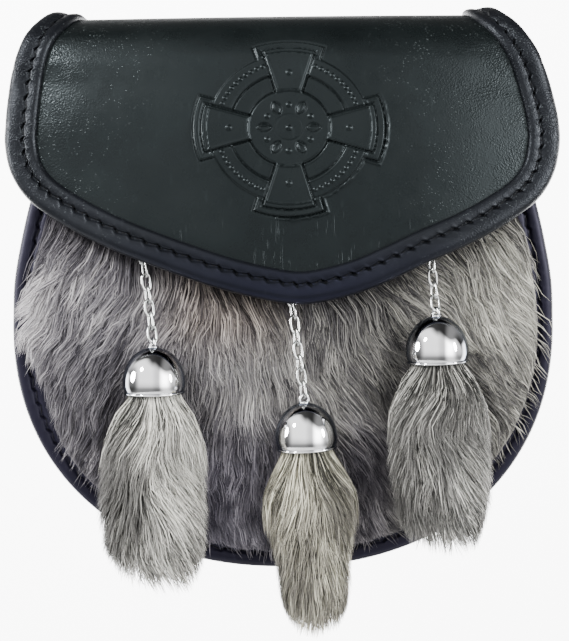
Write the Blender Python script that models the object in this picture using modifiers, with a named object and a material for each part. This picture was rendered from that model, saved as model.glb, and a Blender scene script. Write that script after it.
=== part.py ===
"""A sporran: a round leather pouch with a fur front, an embossed flap and three fur tassels on chains.

Lengths are in millimetres and turn into metres where an object is made. The front faces -Y, +X is to
the right of somebody who looks at the front, and +Z is up. The origin is on the outer face of the back
panel, midway between the two belt loops, on the line that the strap takes.
"""

import math
from collections import namedtuple

import bmesh
import bpy
import numpy as np
from mathutils import Matrix, Vector

MM = 0.001
GAP = 0.3  # between pieces that are sewn, riveted or hung on each other

# The pouch, seen from the front: a rounded body with straight shoulders under the flap.
BODY_CENTRE_Z = -49.0  # where it is widest
BODY_RADIUS = 95.2
BODY_DROP = 86.0  # from there down to its lowest point
BODY_SQUARENESS = 2.2  # the exponent of the lower half's superellipse
BODY_SIDES = 48  # of the panels' outlines
Point = namedtuple("Point", "x z")
SHOULDER = [
    Point(0.0, 47.0),
    Point(30.0, 47.0),
    Point(55.0, 45.5),
    Point(70.0, 40.0),
    Point(78.5, 29.0),
    Point(83.0, 13.0),
    Point(88.6, -5.0),
    Point(92.2, -20.0),
    Point(94.6, -34.0),
    Point(BODY_RADIUS, BODY_CENTRE_Z),
]

# The walls of the pouch, from the back forwards.
BACK_THICKNESS = 2.5
GUSSET_THICKNESS = 1.8
GUSSET_DEPTH = 25.2
GUSSET_FLANGE = 8.0
GUSSET_INSET = 1.5  # the panels' edges stand this far past the gusset
GUSSET_TOP_Z = 42.0
GUSSET_STATIONS = 36
FRONT_THICKNESS = 2.2
FRONT_BULGE = 7.0
FRONT_BULGE_POWER = 2.5
MOUTH_Z = 38.0  # the front panel's top edge

# The fur coat on the front panel.
FUR_COLUMNS = 30
FUR_ROWS = 20
FUR_LOCK_ROWS = 4  # rows from one lock's tip to the next
FUR_TUCK = 3.4  # how far the coat runs up under the flap's edge
FUR_DEPTH = 6.0
FUR_PRESSED = 3.0  # the depth under the flap and under the tassels
FUR_RELIEF = 4.6
CHAIN_FURROW = 4.0  # half of the width that a chain presses flat
FUR_EDGE = 0.88  # the coat's edge between two locks, as a share of the body's radius
FUR_TIP = 0.93  # the locks' tips at the edge
FUR_SIDE_X = 81.0  # the coat's upper corners
FUR_SIDE_Z = -2.0
FUR_FAN_DEG = 84.0  # the outermost lock's direction, either side of straight down

# The flap: its path at the middle, from its lower edge on the back over the top to its tip,
# and its flat pattern along that path.
FLAP_THICKNESS = 2.0
FLAP_SIDE_FALL = 13.0  # how far the sides lie behind the middle on the front
FLAP_HALF_WIDTH = 95.0
FLAP_FALL_FROM = 38.0  # the sides begin to fall at this length along the flap
FLAP_FALL_TO = 85.0
FLAP_LEAN = 0.012  # the fold rises by this share of x, which fades out between these lengths
FLAP_LEAN_FROM = 50.0
FLAP_LEAN_TO = 110.0
PathPoint = namedtuple("PathPoint", "y z")
FLAP_PATH = [
    PathPoint(2.3, 34.25),
    PathPoint(2.3, 49.4),
    PathPoint(-3.5, 57.9),
    PathPoint(-13.0, 60.2),
    PathPoint(-26.0, 60.1),
    PathPoint(-39.0, 55.9),
    PathPoint(-46.0, 46.8),
    PathPoint(-49.0, 34.2),
    PathPoint(-51.0, 20.0),
    PathPoint(-52.0, 0.0),
    PathPoint(-52.3, -20.0),
    PathPoint(-52.1, -42.0),
]
PatternRow = namedtuple("PatternRow", "along half_width centre")
FLAP_PATTERN = [
    PatternRow(0.0, 74.0, -1.0),
    PatternRow(26.0, 77.3, -2.6),
    PatternRow(40.0, 78.0, -3.7),
    PatternRow(50.0, 80.6, -4.0),
    PatternRow(60.0, 85.4, -3.4),
    PatternRow(70.0, 89.4, -2.2),
    PatternRow(80.0, 91.8, -1.5),
    PatternRow(90.0, 93.8, -0.7),
    PatternRow(98.0, 94.8, -0.3),
    PatternRow(106.0, 95.0, -0.3),
    PatternRow(116.0, 92.8, -0.2),
    PatternRow(125.0, 86.7, 0.0),
    PatternRow(133.0, 75.5, 0.3),
    PatternRow(139.5, 63.3, 0.5),
    PatternRow(145.0, 50.3, 0.8),
    PatternRow(150.5, 36.8, 2.6),
    PatternRow(155.0, 24.6, 4.3),
    PatternRow(158.3, 12.0, 5.6),
]
FLAP_TIP = PatternRow(160.0, 0.0, 5.9)
FLAP_INSET = 0.5  # the leather's edge lies this far inside its pattern, in the binding
FLAP_ROWS = 27
FLAP_COLUMNS = 10
BEND_WEIGHT = 25.0  # a bend of one radian counts as this much length when rows are shared out

# The binding round the flap's edge: its section, from the outer edge inwards and up from the leather.
BORDER_WIDTH = 10.0
BORDER_FROM = 20.0  # it begins here along the flap, above the back panel's top edge
BORDER_STATIONS = 58
SLOT_GAP = 0.42  # between the binding and the leather in it, which bend round the same corners
SectionPoint = namedtuple("SectionPoint", "inwards up")
BORDER_SECTION = [
    SectionPoint(8.0, -2.8),
    SectionPoint(0.4, -2.9),
    SectionPoint(-1.3, -0.8),
    SectionPoint(-1.1, 1.4),
    SectionPoint(1.6, 2.9),
    SectionPoint(5.9, 1.5),
    SectionPoint(8.0, 2.2),
    SectionPoint(BORDER_WIDTH, 1.6),
    SectionPoint(BORDER_WIDTH, SLOT_GAP),
    SectionPoint(0.0, SLOT_GAP),
    SectionPoint(0.0, -FLAP_THICKNESS - SLOT_GAP),
    SectionPoint(8.0, -FLAP_THICKNESS - SLOT_GAP),
]

# The embossed ring cross on the flap: how high each ring stands on an arm and between two arms.
CROSS_X = 2.0
CROSS_ALONG = 101.0
CROSS_WIDTH_SCALE = 1.04
CROSS_HEIGHT_SCALE = 0.96
CROSS_SUNK = -0.6  # inside the leather, so nothing shows there
CROSS_ARM_DEG = 18.3  # half of an arm's spread
ReliefRow = namedtuple("ReliefRow", "radius on_arm between")
CROSS_RINGS = [
    ReliefRow(4.0, 1.0, 1.0),
    ReliefRow(4.7, CROSS_SUNK, CROSS_SUNK),
    ReliefRow(5.8, CROSS_SUNK, CROSS_SUNK),
    ReliefRow(6.5, 0.9, 0.9),
    ReliefRow(9.6, 0.9, 0.9),
    ReliefRow(10.3, 0.9, CROSS_SUNK),
    ReliefRow(19.2, 0.9, CROSS_SUNK),
    ReliefRow(19.8, 0.9, 0.9),
    ReliefRow(25.9, 0.9, 0.9),
    ReliefRow(26.5, 0.9, CROSS_SUNK),
    ReliefRow(30.8, 0.9, CROSS_SUNK),
    ReliefRow(31.5, CROSS_SUNK, CROSS_SUNK),
]

# The belt loops on the back, which take a strap 30 mm wide and 6 mm thick.
LOOP_X = 45.0
LOOP_WIDTH = 20.0
LOOP_CLEARANCE = 6.3
LOOP_STRAP_HALF = 14.0
LOOP_BEND = 5.0
LOOP_FOOT = 8.0
LOOP_THICKNESS = 2.0

# The three drops: a chain from a staple under the flap, a cap and a tassel.
WIRE = 0.95
LINK_LENGTH = 6.8
LINK_WIDTH = 4.1
LINK_SIDES = 10
WIRE_SIDES = 5
LINK_ROLLS_DEG = (-62.0, 28.0)  # turned by turns
STAPLE_WIRE = 1.2
STAPLE_HALF = 3.2
STAPLE_Y = -43.6
CHAIN_SAG_POWER = 1.8  # the chain leaves the staple nearly upright and leans forward lower down
CAP_RADIUS = 10.9
CAP_HEIGHT = 16.2
CAP_WALL = 0.8
CAP_STEPS = 16
EYE_RADIUS = 1.7
EYE_WIRE = 1.0
EYE_RISE = 1.0
TASSEL_HEAD_RADIUS = 9.5
TASSEL_HEAD_TOP = 4.5  # below the cap's top
TASSEL_LOCKS = 12
TASSEL_FLATNESS = 0.68  # depth over width
TasselRow = namedtuple("TasselRow", "share wave")
TASSEL_ROWS = [  # shares of the length below the cap, where each drop names half of its width
    TasselRow(0.10, 0.05),
    TasselRow(0.24, 0.08),
    TasselRow(0.42, 0.10),
    TasselRow(0.62, 0.12),
    TasselRow(0.80, 0.15),
]
Drop = namedtuple("Drop", "side cap_x cap_top_z lean_deg staple_x links length halves tip")
DROPS = [
    Drop("left", -44.7, -54.6, 1.2, -49.4, 8, 84.5, (12.8, 16.3, 18.4, 18.9, 17.8), 12.5),
    Drop("middle", 7.3, -73.8, 3.2, 2.0, 9, 80.8, (12.6, 14.8, 15.0, 13.1, 12.4), 8.0),
    Drop("right", 52.6, -43.9, 2.2, 50.6, 6, 81.8, (12.6, 16.0, 17.6, 18.0, 16.6), 11.0),
]

# The hidden press stud between the front panel and the flap.
STUD_X = 2.0
STUD_Z = -8.0
STUD_FLANGE = 6.5
STUD_WAIST = 4.0
STUD_FLANGE_THICKNESS = 1.5
STUD_STEPS = 12

MATERIALS = {  # base colour, metallic, roughness
    "black_leather": ((0.022, 0.021, 0.023), 0.0, 0.38),
    "embossed_leather": ((0.030, 0.029, 0.031), 0.0, 0.34),
    "inner_leather": ((0.035, 0.032, 0.030), 0.0, 0.62),
    "grey_fur": ((0.27, 0.26, 0.27), 0.0, 0.75),
    "tassel_fur": ((0.30, 0.29, 0.28), 0.0, 0.75),
    "bright_metal": ((0.80, 0.80, 0.82), 1.0, 0.12),
    "dull_metal": ((0.45, 0.45, 0.46), 1.0, 0.35),
}


# ---- the scene's objects ----


def clear_scene():
    for old in list(bpy.data.objects):
        bpy.data.objects.remove(old, do_unlink=True)


def new_collection(name):
    made = bpy.data.collections.new(name)
    bpy.context.scene.collection.children.link(made)
    return made


def material(kind, owner):
    colour, metallic, roughness = MATERIALS[kind]
    made = bpy.data.materials.new(f"{owner}_{kind}")
    made.use_nodes = True
    shader = made.node_tree.nodes["Principled BSDF"]
    shader.inputs["Base Color"].default_value = (*colour, 1.0)
    shader.inputs["Metallic"].default_value = metallic
    shader.inputs["Roughness"].default_value = roughness
    return made


def place(obj, kind, collection, root=None):
    """Put an object in a collection, under the root empty, with a material of its own."""
    for old in list(obj.users_collection):
        old.objects.unlink(obj)
    collection.objects.link(obj)
    obj.data.materials.clear()
    obj.data.materials.append(material(kind, obj.name))
    if root is not None:
        obj.parent = root
    return obj


def mesh_object(name, points, faces, outward=True):
    """A mesh from points in millimetres."""
    mesh = bpy.data.meshes.new(name)
    mesh.from_pydata([tuple(float(c) * MM for c in p) for p in points], [], faces)
    if not outward:
        mesh.flip_normals()
    mesh.validate()
    mesh.shade_smooth()
    mesh.set_sharp_from_angle(angle=math.radians(40))
    return bpy.data.objects.new(name, mesh)


def recalculated(obj):
    """The object with all faces of its closed mesh turned outwards."""
    work = bmesh.new()
    work.from_mesh(obj.data)
    bmesh.ops.recalc_face_normals(work, faces=work.faces)
    work.to_mesh(obj.data)
    work.free()
    return obj


def solidify(obj, thickness):
    """Thicken an open surface behind its faces."""
    added = obj.modifiers.new("leather", "SOLIDIFY")
    added.thickness = thickness * MM
    added.offset = -1.0
    added.use_even_offset = True


def unite(obj, other, cutters):
    """Join another closed mesh to the object."""
    place(other, "dull_metal", cutters)
    other.hide_render = True
    other.display_type = "WIRE"
    added = obj.modifiers.new("joined", "BOOLEAN")
    added.operation = "UNION"
    added.object = other


# ---- curves and surfaces ----


def lengths_along(points):
    steps = np.linalg.norm(np.diff(points, axis=0), axis=1)
    return np.concatenate([[0.0], np.cumsum(steps)])


def resampled(points, count, along=None):
    """Points on a polyline, evenly spaced by its length or by another measure along it."""
    along = lengths_along(points) if along is None else along
    at = np.linspace(0.0, along[-1], count)
    return np.column_stack([np.interp(at, along, points[:, k]) for k in range(points.shape[1])])


def length_and_bend(points):
    """The length along a path, counting more where it bends."""
    steps = np.diff(points, axis=0)
    steps /= np.linalg.norm(steps, axis=1)[:, None]
    turned_by = np.arccos(np.clip((steps[1:] * steps[:-1]).sum(axis=1), -1.0, 1.0))
    bend = np.concatenate([[0.0, 0.0], np.cumsum(turned_by)])
    return lengths_along(points) + BEND_WEIGHT * bend


def curve_through(points, count, per_span=24):
    """Evenly spaced points on a Catmull-Rom curve through the given points."""
    given = np.array(points, float)
    ends = np.vstack([2 * given[0] - given[1], given, 2 * given[-1] - given[-2]])
    t = np.linspace(0.0, 1.0, per_span, endpoint=False)[:, None]
    spans = []
    for a, b, c, d in zip(ends, ends[1:], ends[2:], ends[3:]):
        bend = (2 * a - 5 * b + 4 * c - d) * t**2 + (3 * b - a - 3 * c + d) * t**3
        spans.append(0.5 * (2 * b + (c - a) * t + bend))
    return resampled(np.vstack([*spans, given[-1:]]), count)


def grid_faces(rows, columns, closed=False):
    """Quads over a grid of points that is stored row by row."""
    spans = columns if closed else columns - 1
    faces = []
    for r in range(rows - 1):
        for c in range(spans):
            d = (c + 1) % columns
            faces.append((r * columns + c, r * columns + d, (r + 1) * columns + d, (r + 1) * columns + c))
    return faces


def body_outline(count, inset=0.0):
    """The body's outline in X and Z: from the top middle down the right side and up the left."""
    upper = curve_through(SHOULDER, 120)
    angle = np.linspace(0.0, -0.5 * math.pi, 120)[1:]
    cos, sin = np.abs(np.cos(angle)), np.abs(np.sin(angle))
    reach = 1.0 / (cos**BODY_SQUARENESS + sin**BODY_SQUARENESS) ** (1 / BODY_SQUARENESS)
    lower = np.column_stack([BODY_RADIUS * reach * cos, BODY_CENTRE_Z - BODY_DROP * reach * sin])
    half = np.vstack([upper, lower])
    ring = np.vstack([half, (half * [-1.0, 1.0])[::-1][1:]])
    if inset:
        along = np.gradient(ring, axis=0)
        along[0] = along[-1] = (1.0, 0.0)
        along /= np.linalg.norm(along, axis=1)[:, None]
        ring = ring + inset * np.column_stack([along[:, 1], -along[:, 0]])
    return resampled(ring, count + 1)[:-1]


OUTLINE = body_outline(720)
OUTLINE_ANGLES = np.arctan2(OUTLINE[:, 1] - BODY_CENTRE_Z, OUTLINE[:, 0])
OUTLINE_RADII = np.hypot(OUTLINE[:, 0], OUTLINE[:, 1] - BODY_CENTRE_Z)
OUTLINE_ORDER = np.argsort(OUTLINE_ANGLES)


def rim_radius(angle):
    """The body's radius from its centre in a direction."""
    angles, radii = OUTLINE_ANGLES[OUTLINE_ORDER], OUTLINE_RADII[OUTLINE_ORDER]
    return np.interp(angle, angles, radii, period=2 * math.pi)


def rim_share(x, z):
    """0 at the body's centre, 1 at its edge."""
    return np.hypot(x, z - BODY_CENTRE_Z) / rim_radius(np.arctan2(z - BODY_CENTRE_Z, x))


FRONT_INNER_Y = -(BACK_THICKNESS + GAP + GUSSET_DEPTH + GAP)
FRONT_OUTER_Y = FRONT_INNER_Y - FRONT_THICKNESS


def front_y(x, z):
    """The outer face of the front panel."""
    share = np.minimum(rim_share(x, z), 1.0)
    return FRONT_OUTER_Y - FRONT_BULGE * (1.0 - share**FRONT_BULGE_POWER)


def pressed_fur_y(x, z):
    """The fur's surface where something lies on it."""
    return front_y(x, z) - GAP - FUR_PRESSED


# ---- the flap's surface ----

FLAP_LINE = curve_through(FLAP_PATH, 700)
FLAP_ALONG = lengths_along(FLAP_LINE)
FLAP_LENGTH = FLAP_ALONG[-1]
FLAP_TANGENTS = np.gradient(FLAP_LINE, FLAP_ALONG, axis=0)


def smooth_step(value, low, high):
    t = np.clip((value - low) / (high - low), 0.0, 1.0)
    return t * t * (3.0 - 2.0 * t)


def flap_base(x, along):
    """A point on the flap's outer face, x from its middle line and so far along it."""
    y, z = (np.interp(along, FLAP_ALONG, FLAP_LINE[:, k]) for k in range(2))
    tangent = np.array([np.interp(along, FLAP_ALONG, FLAP_TANGENTS[:, k]) for k in range(2)])
    out_y, out_z = np.array([tangent[1], -tangent[0]]) / np.linalg.norm(tangent)
    weight = smooth_step(along, FLAP_FALL_FROM, FLAP_FALL_TO)
    fall = weight * FLAP_SIDE_FALL * abs(x / FLAP_HALF_WIDTH) ** 2.5
    lean = FLAP_LEAN * x * (1.0 - smooth_step(along, FLAP_LEAN_FROM, FLAP_LEAN_TO))
    return np.array([x, y - out_y * fall, z - out_z * fall + lean])


def flap_point(x, along, lift=0.0):
    """A point so far above the flap's outer face."""
    step = 0.5
    along = float(np.clip(along, step, FLAP_LENGTH - step))
    across = flap_base(x + step, along) - flap_base(x - step, along)
    down = flap_base(x, along + step) - flap_base(x, along - step)
    normal = np.cross(across, down)
    return flap_base(x, along) - lift * normal / np.linalg.norm(normal)


def flap_edge(count):
    """The flap's free edge on its pattern: down the left side, round the tip and up the right."""
    left = [(row.centre - row.half_width, row.along) for row in FLAP_PATTERN]
    right = [(row.centre + row.half_width, row.along) for row in FLAP_PATTERN]
    return curve_through([*left, (FLAP_TIP.centre, FLAP_TIP.along), *right[::-1]], count)


def inward(path):
    """The directions across a path on the pattern, to the flap's inside."""
    ahead = np.gradient(path, axis=0)
    ahead /= np.linalg.norm(ahead, axis=1)[:, None]
    return np.column_stack([ahead[:, 1], -ahead[:, 0]])


def flap_edge_height(x):
    """The height of the flap's lower edge at x, on the front."""
    edge = flap_edge(400)
    low = edge[edge[:, 1] > 106.0]
    along = np.interp(x, low[:, 0], low[:, 1])
    return float(np.interp(along, FLAP_ALONG, FLAP_LINE[:, 1]))


# ---- the pouch ----


def back_panel():
    """A flat outline, as thick as its leather."""
    curve = bpy.data.curves.new("back_panel", "CURVE")
    curve.dimensions = "2D"
    curve.fill_mode = "BOTH"
    curve.extrude = 0.5 * BACK_THICKNESS * MM
    ring = body_outline(BODY_SIDES)
    spline = curve.splines.new("POLY")
    spline.points.add(len(ring) - 1)
    for point, (x, z) in zip(spline.points, ring):
        point.co = (x * MM, z * MM, 0.0, 1.0)
    spline.use_cyclic_u = True
    panel = bpy.data.objects.new("back_panel", curve)
    panel.rotation_euler = (0.5 * math.pi, 0.0, 0.0)
    panel.location = (0.0, -0.5 * BACK_THICKNESS * MM, 0.0)
    return panel


def gusset():
    """A strip with two inward flanges, along the sides and the bottom of the body."""
    ring = body_outline(720, GUSSET_INSET)
    inner = body_outline(720, GUSSET_INSET + GUSSET_FLANGE)
    first = int(np.argmax(ring[:, 1] < GUSSET_TOP_Z))
    last = len(ring) - first
    outer, inner = (resampled(path[first:last], GUSSET_STATIONS) for path in (ring, inner))
    back = -(BACK_THICKNESS + GAP)
    front = back - GUSSET_DEPTH
    rows = [(inner, back), (outer, back), (outer, front), (inner, front)]
    points = [(x, y, z) for path, y in rows for x, z in path]
    strip = mesh_object("gusset", points, grid_faces(len(rows), GUSSET_STATIONS), outward=False)
    solidify(strip, GUSSET_THICKNESS)
    return strip


def front_panel():
    """A domed sheet with the body's outline, open above at the mouth."""
    shares = (0.35, 0.65, 0.86, 0.95, 1.0)
    count = BODY_SIDES
    ring = body_outline(count)
    centre = np.array([0.0, BODY_CENTRE_Z])
    flat = [centre]
    for share in shares:
        flat.extend(centre + share * (ring - centre))
    points = [(x, float(front_y(x, z)), z) for x, z in flat]
    faces = [(0, 1 + k, 1 + (k + 1) % count) for k in range(count)]
    faces += [tuple(1 + i for i in reversed(f)) for f in grid_faces(len(shares), count, closed=True)]
    sheet = mesh_object("front_panel", points, faces, outward=False)
    work = bmesh.new()
    work.from_mesh(sheet.data)
    bmesh.ops.bisect_plane(
        work,
        geom=[*work.verts, *work.edges, *work.faces],
        dist=1e-6,
        plane_co=(0.0, 0.0, MOUTH_Z * MM),
        plane_no=(0.0, 0.0, 1.0),
        clear_outer=True,
    )
    work.to_mesh(sheet.data)
    work.free()
    solidify(sheet, FRONT_THICKNESS)
    return sheet


# ---- the fur coat ----


def golden(index):
    """An even spread of numbers from 0 to 1, one for each index."""
    return (index * 0.6180339887) % 1.0


def fur_place(across, down, reach):
    """A place on the coat in X and Z: across from -1 to 1, down from 0 at its top to 1 at its edge."""
    top_x = across * FUR_SIDE_X
    top_z = min(flap_edge_height(top_x) + FUR_TUCK, FUR_SIDE_Z)
    angle = math.radians(-90.0 + across * FUR_FAN_DEG)
    radius = reach * float(rim_radius(angle))
    end_x, end_z = radius * math.cos(angle), BODY_CENTRE_Z + radius * math.sin(angle)
    return top_x + (end_x - top_x) * down, top_z + (end_z - top_z) * down


def tassel_half_width(drop, below_mouth):
    """Half of a tassel's width so far below its cap's mouth."""
    free = drop.length - CAP_HEIGHT
    shares = [0.0, *[row.share for row in TASSEL_ROWS], 1.0]
    mouth = CAP_RADIUS - CAP_WALL - 0.5
    return float(np.interp(below_mouth / free, shares, [mouth, *drop.halves, drop.tip]))


def fur_depth(x, z):
    """The coat's depth: full over the belly, pressed flat under the flap, the chains and the tassels."""
    pressed = smooth_step(z - flap_edge_height(x), -8.0, 2.0)
    for drop in DROPS:
        below = drop.cap_top_z - z
        middle = drop.cap_x + below * math.tan(math.radians(drop.lean_deg))
        half = CHAIN_FURROW
        if below > -4.0:
            half = max(CAP_RADIUS, tassel_half_width(drop, below - CAP_HEIGHT))
        if below < drop.length + 4.0:
            pressed = max(pressed, 1.0 - smooth_step(abs(x - middle), half + 1.0, half + 6.0))
    full = FUR_DEPTH - 2.5 * float(smooth_step(rim_share(x, z), 0.75, 0.95))
    return full + (FUR_PRESSED - full) * pressed


def fur_front():
    """Locks in staggered rows on a backing that follows the front panel."""
    columns, rows = FUR_COLUMNS + 1, FUR_ROWS + 1
    front, back = [], []
    for r in range(rows):
        for c in range(columns):
            ridge = c % 2
            reach = FUR_EDGE + (FUR_TIP - FUR_EDGE) * ridge * (0.5 + 0.5 * golden(c))
            x, z = fur_place(2.0 * c / FUR_COLUMNS - 1.0, r / FUR_ROWS, reach)
            depth = fur_depth(x, z)
            freedom = (depth - FUR_PRESSED) / (FUR_DEPTH - FUR_PRESSED)
            phase = (r / FUR_LOCK_ROWS + 3.0 * golden(c)) % 1.0
            lift = FUR_RELIEF * freedom * ((0.2 + 0.8 * phase) * ridge - 0.45)
            edge = smooth_step(r, FUR_ROWS - 1.6, FUR_ROWS)
            height = max(0.7 if ridge else 0.9, (depth + lift) * (1.0 - 0.75 * edge))
            seat = float(front_y(x, z)) - GAP - 0.1
            front.append((x, seat - height, z))
            back.append((x, seat, z))
    total = rows * columns
    faces = [tuple(reversed(f)) for f in grid_faces(rows, columns)]
    faces += coarse_back(rows, columns, total)
    rim = list(range(columns))
    rim += [r * columns + columns - 1 for r in range(1, rows)]
    rim += [(rows - 1) * columns + c for c in range(columns - 2, -1, -1)]
    rim += [r * columns for r in range(rows - 2, 0, -1)]
    for a, b in zip(rim, rim[1:] + rim[:1]):
        faces.append((a, b, total + b, total + a))
    coat = mesh_object("fur_front", front + back, faces)
    work = bmesh.new()
    work.from_mesh(coat.data)
    loose = [v for v in work.verts if not v.link_faces]
    bmesh.ops.delete(work, geom=loose, context="VERTS")
    bmesh.ops.triangulate(work, faces=work.faces)
    bmesh.ops.recalc_face_normals(work, faces=work.faces)
    work.to_mesh(coat.data)
    work.free()
    return coat


def coarse_back(rows, columns, first):
    """Faces over every second row and column, with all points kept along the outer edge."""
    faces = []
    for r in range(0, rows - 1, 2):
        for c in range(0, columns - 1, 2):
            ring = [(r, c)]
            ring += [(r, c + 1)] if r == 0 else []
            ring += [(r, c + 2)]
            ring += [(r + 1, c + 2)] if c + 2 == columns - 1 else []
            ring += [(r + 2, c + 2)]
            ring += [(r + 2, c + 1)] if r + 2 == rows - 1 else []
            ring += [(r + 2, c)]
            ring += [(r + 1, c)] if c == 0 else []
            faces.append(tuple(first + i * columns + j for i, j in ring))
    return faces


# ---- the flap ----


def flap(cutters):
    """The leather from the back over the top to the tip, with the cross raised on it."""
    edge = flap_edge(400)
    edge = edge + FLAP_INSET * inward(edge)
    tip = int(np.argmax(edge[:, 1]))
    left, right = edge[:tip], edge[tip + 1 :][::-1]
    used = FLAP_ALONG < edge[tip, 1] - 0.1
    alongs = resampled(FLAP_ALONG[used][:, None], FLAP_ROWS, length_and_bend(FLAP_LINE[used]))[:, 0]
    points = []
    for along in alongs:
        x0 = np.interp(along, left[:, 1], left[:, 0])
        x1 = np.interp(along, right[:, 1], right[:, 0])
        for across in flap_columns():
            points.append(flap_point(x0 + (x1 - x0) * across, along))
    sheet = mesh_object("flap", points, grid_faces(FLAP_ROWS, FLAP_COLUMNS + 1), outward=False)
    solidify(sheet, FLAP_THICKNESS)
    unite(sheet, cross_relief(), cutters)
    return sheet


def flap_columns():
    """Shares across the flap, closer together towards its sides, where it bends more."""
    even = np.linspace(-1.0, 1.0, FLAP_COLUMNS + 1)
    return 0.5 + 0.25 * (even + np.sin(0.5 * math.pi * even))


def cross_angles():
    """Directions round the cross, close together at the arms' edges."""
    step = 1.7
    quarter = [0.0, CROSS_ARM_DEG - step, CROSS_ARM_DEG + step, 37.0]
    quarter += [90.0 - a for a in reversed(quarter[1:])]
    return [90.0 * k + a for k in range(4) for a in quarter]


def cross_relief():
    """A ring cross with a round boss. What lies below the leather's face joins the flap."""
    angles = cross_angles()
    points = [flap_point(CROSS_X, CROSS_ALONG, CROSS_RINGS[0].on_arm)]
    for row in CROSS_RINGS:
        for angle in angles:
            points.append(cross_point(row, angle))
    last = CROSS_RINGS[-1]
    floor = ReliefRow(last.radius, -1.3, -1.3)
    points += [cross_point(floor, angle) for angle in angles]
    points.append(flap_point(CROSS_X, CROSS_ALONG, -1.3))
    count = len(angles)
    faces = [(0, 1 + k, 1 + (k + 1) % count) for k in range(count)]
    faces += [tuple(1 + i for i in f) for f in grid_faces(len(CROSS_RINGS) + 1, count, closed=True)]
    start = 1 + len(CROSS_RINGS) * count
    faces += [(start + k, start + (k + 1) % count, len(points) - 1) for k in range(count)]
    return recalculated(mesh_object("ring_cross", points, faces))


def cross_point(row, angle):
    turn = math.radians(angle)
    from_axis = abs((angle + 45.0) % 90.0 - 45.0)
    height = row.on_arm if from_axis < CROSS_ARM_DEG else row.between
    x = CROSS_X + row.radius * CROSS_WIDTH_SCALE * math.cos(turn)
    along = CROSS_ALONG - row.radius * CROSS_HEIGHT_SCALE * math.sin(turn)
    return flap_point(x, along, height)


def flap_border():
    """The binding: one section carried round the flap's free edge."""
    edge = flap_edge(600)
    edge = edge[edge[:, 1] > BORDER_FROM]
    in_space = np.array([flap_base(x, along) for x, along in edge])
    path = resampled(edge, BORDER_STATIONS, length_and_bend(in_space))
    points = []
    for on_edge, across in zip(path, inward(path)):
        for corner in BORDER_SECTION:
            x, along = on_edge + across * corner.inwards
            points.append(flap_point(x, along, corner.up))
    count = len(BORDER_SECTION)
    faces = grid_faces(BORDER_STATIONS, count, closed=True)
    start = (BORDER_STATIONS - 1) * count
    faces += [tuple(range(count)), tuple(range(start + count - 1, start - 1, -1))]
    return recalculated(mesh_object("flap_border", points, faces))


def press_stud():
    """A turned post with two round flanges, from the front panel to the flap."""
    back = float(front_y(STUD_X, STUD_Z)) - GAP
    along = np.interp(-STUD_Z, -FLAP_LINE[:, 1], FLAP_ALONG)
    front = flap_point(STUD_X, along, -FLAP_THICKNESS - GAP)[1]
    length = back - front
    flange = STUD_FLANGE_THICKNESS
    profile = [
        (0.0, length),
        (STUD_FLANGE, length),
        (STUD_FLANGE, length - flange),
        (STUD_WAIST, length - flange),
        (STUD_WAIST, flange),
        (STUD_FLANGE, flange),
        (STUD_FLANGE, 0.0),
        (0.0, 0.0),
    ]
    stud = turned("press_stud", profile, STUD_STEPS)
    stud.rotation_euler = (0.5 * math.pi, 0.0, 0.0)
    stud.location = Vector((STUD_X, back, STUD_Z)) * MM
    return stud


def turned(name, profile, steps):
    """A profile in the XZ plane, turned about Z."""
    mesh = bpy.data.meshes.new(name)
    edges = [(k, k + 1) for k in range(len(profile) - 1)]
    mesh.from_pydata([(r * MM, 0.0, z * MM) for r, z in profile], edges, [])
    made = bpy.data.objects.new(name, mesh)
    screw = made.modifiers.new("turned", "SCREW")
    screw.steps = steps
    screw.render_steps = steps
    screw.use_merge_vertices = True
    screw.merge_threshold = 0.00001
    screw.use_smooth_shade = True
    return made


def belt_loop(side, x):
    """A strip whose two feet are sewn to the back, with room for the strap between them."""
    foot_y = GAP + LOOP_THICKNESS
    high_y = LOOP_CLEARANCE + LOOP_THICKNESS
    bend = LOOP_STRAP_HALF + LOOP_BEND
    end = bend + LOOP_FOOT
    rows = [(foot_y, end), (foot_y, bend), (high_y, LOOP_STRAP_HALF)]
    rows += [(y, -z) for y, z in reversed(rows)]
    half = 0.5 * LOOP_WIDTH
    points = [(px, y, z) for y, z in rows for px in (-half, half)]
    strip = mesh_object(f"belt_loop_{side}", points, grid_faces(len(rows), 2))
    solidify(strip, LOOP_THICKNESS)
    strip.location = (x * MM, 0.0, 0.0)
    return strip


# ---- the drops: staple, chain, cap and tassel ----


def cap_top(drop):
    """The top of a cap, whose back lies on the pressed fur."""
    z = drop.cap_top_z
    surface = pressed_fur_y(drop.cap_x, z - 0.5 * CAP_HEIGHT)
    return np.array([drop.cap_x, float(surface) - 0.4 - CAP_RADIUS, z])


def cap_turn(drop):
    return Matrix.Rotation(math.radians(-drop.lean_deg), 4, "Y")


def chain_line(drop):
    """The chain's path from the staple's bar down to the top of the cap's eye."""
    eye = np.array(cap_turn(drop) @ Vector((0.0, 0.0, EYE_RISE + EYE_RADIUS)))
    low = cap_top(drop) + eye
    reach = (drop.links - 1) * link_pitch() + link_reach()
    drop_x, drop_y = low[0] - drop.staple_x, low[1] - STAPLE_Y
    fall = math.sqrt(reach**2 - drop_x**2 - 1.08 * drop_y**2)
    t = np.linspace(0.0, 1.0, 200)
    x = drop.staple_x + drop_x * t
    y = STAPLE_Y + drop_y * t**CHAIN_SAG_POWER
    z = low[2] + fall * (1.0 - t)
    return np.column_stack([x, y, z])


def link_pitch():
    return LINK_LENGTH - 2 * WIRE - GAP


def link_reach():
    """From the staple's bar to the eye's wire over a single link."""
    return LINK_LENGTH - 2 * WIRE - GAP - 0.5 * STAPLE_WIRE - 0.5 * EYE_WIRE


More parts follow.
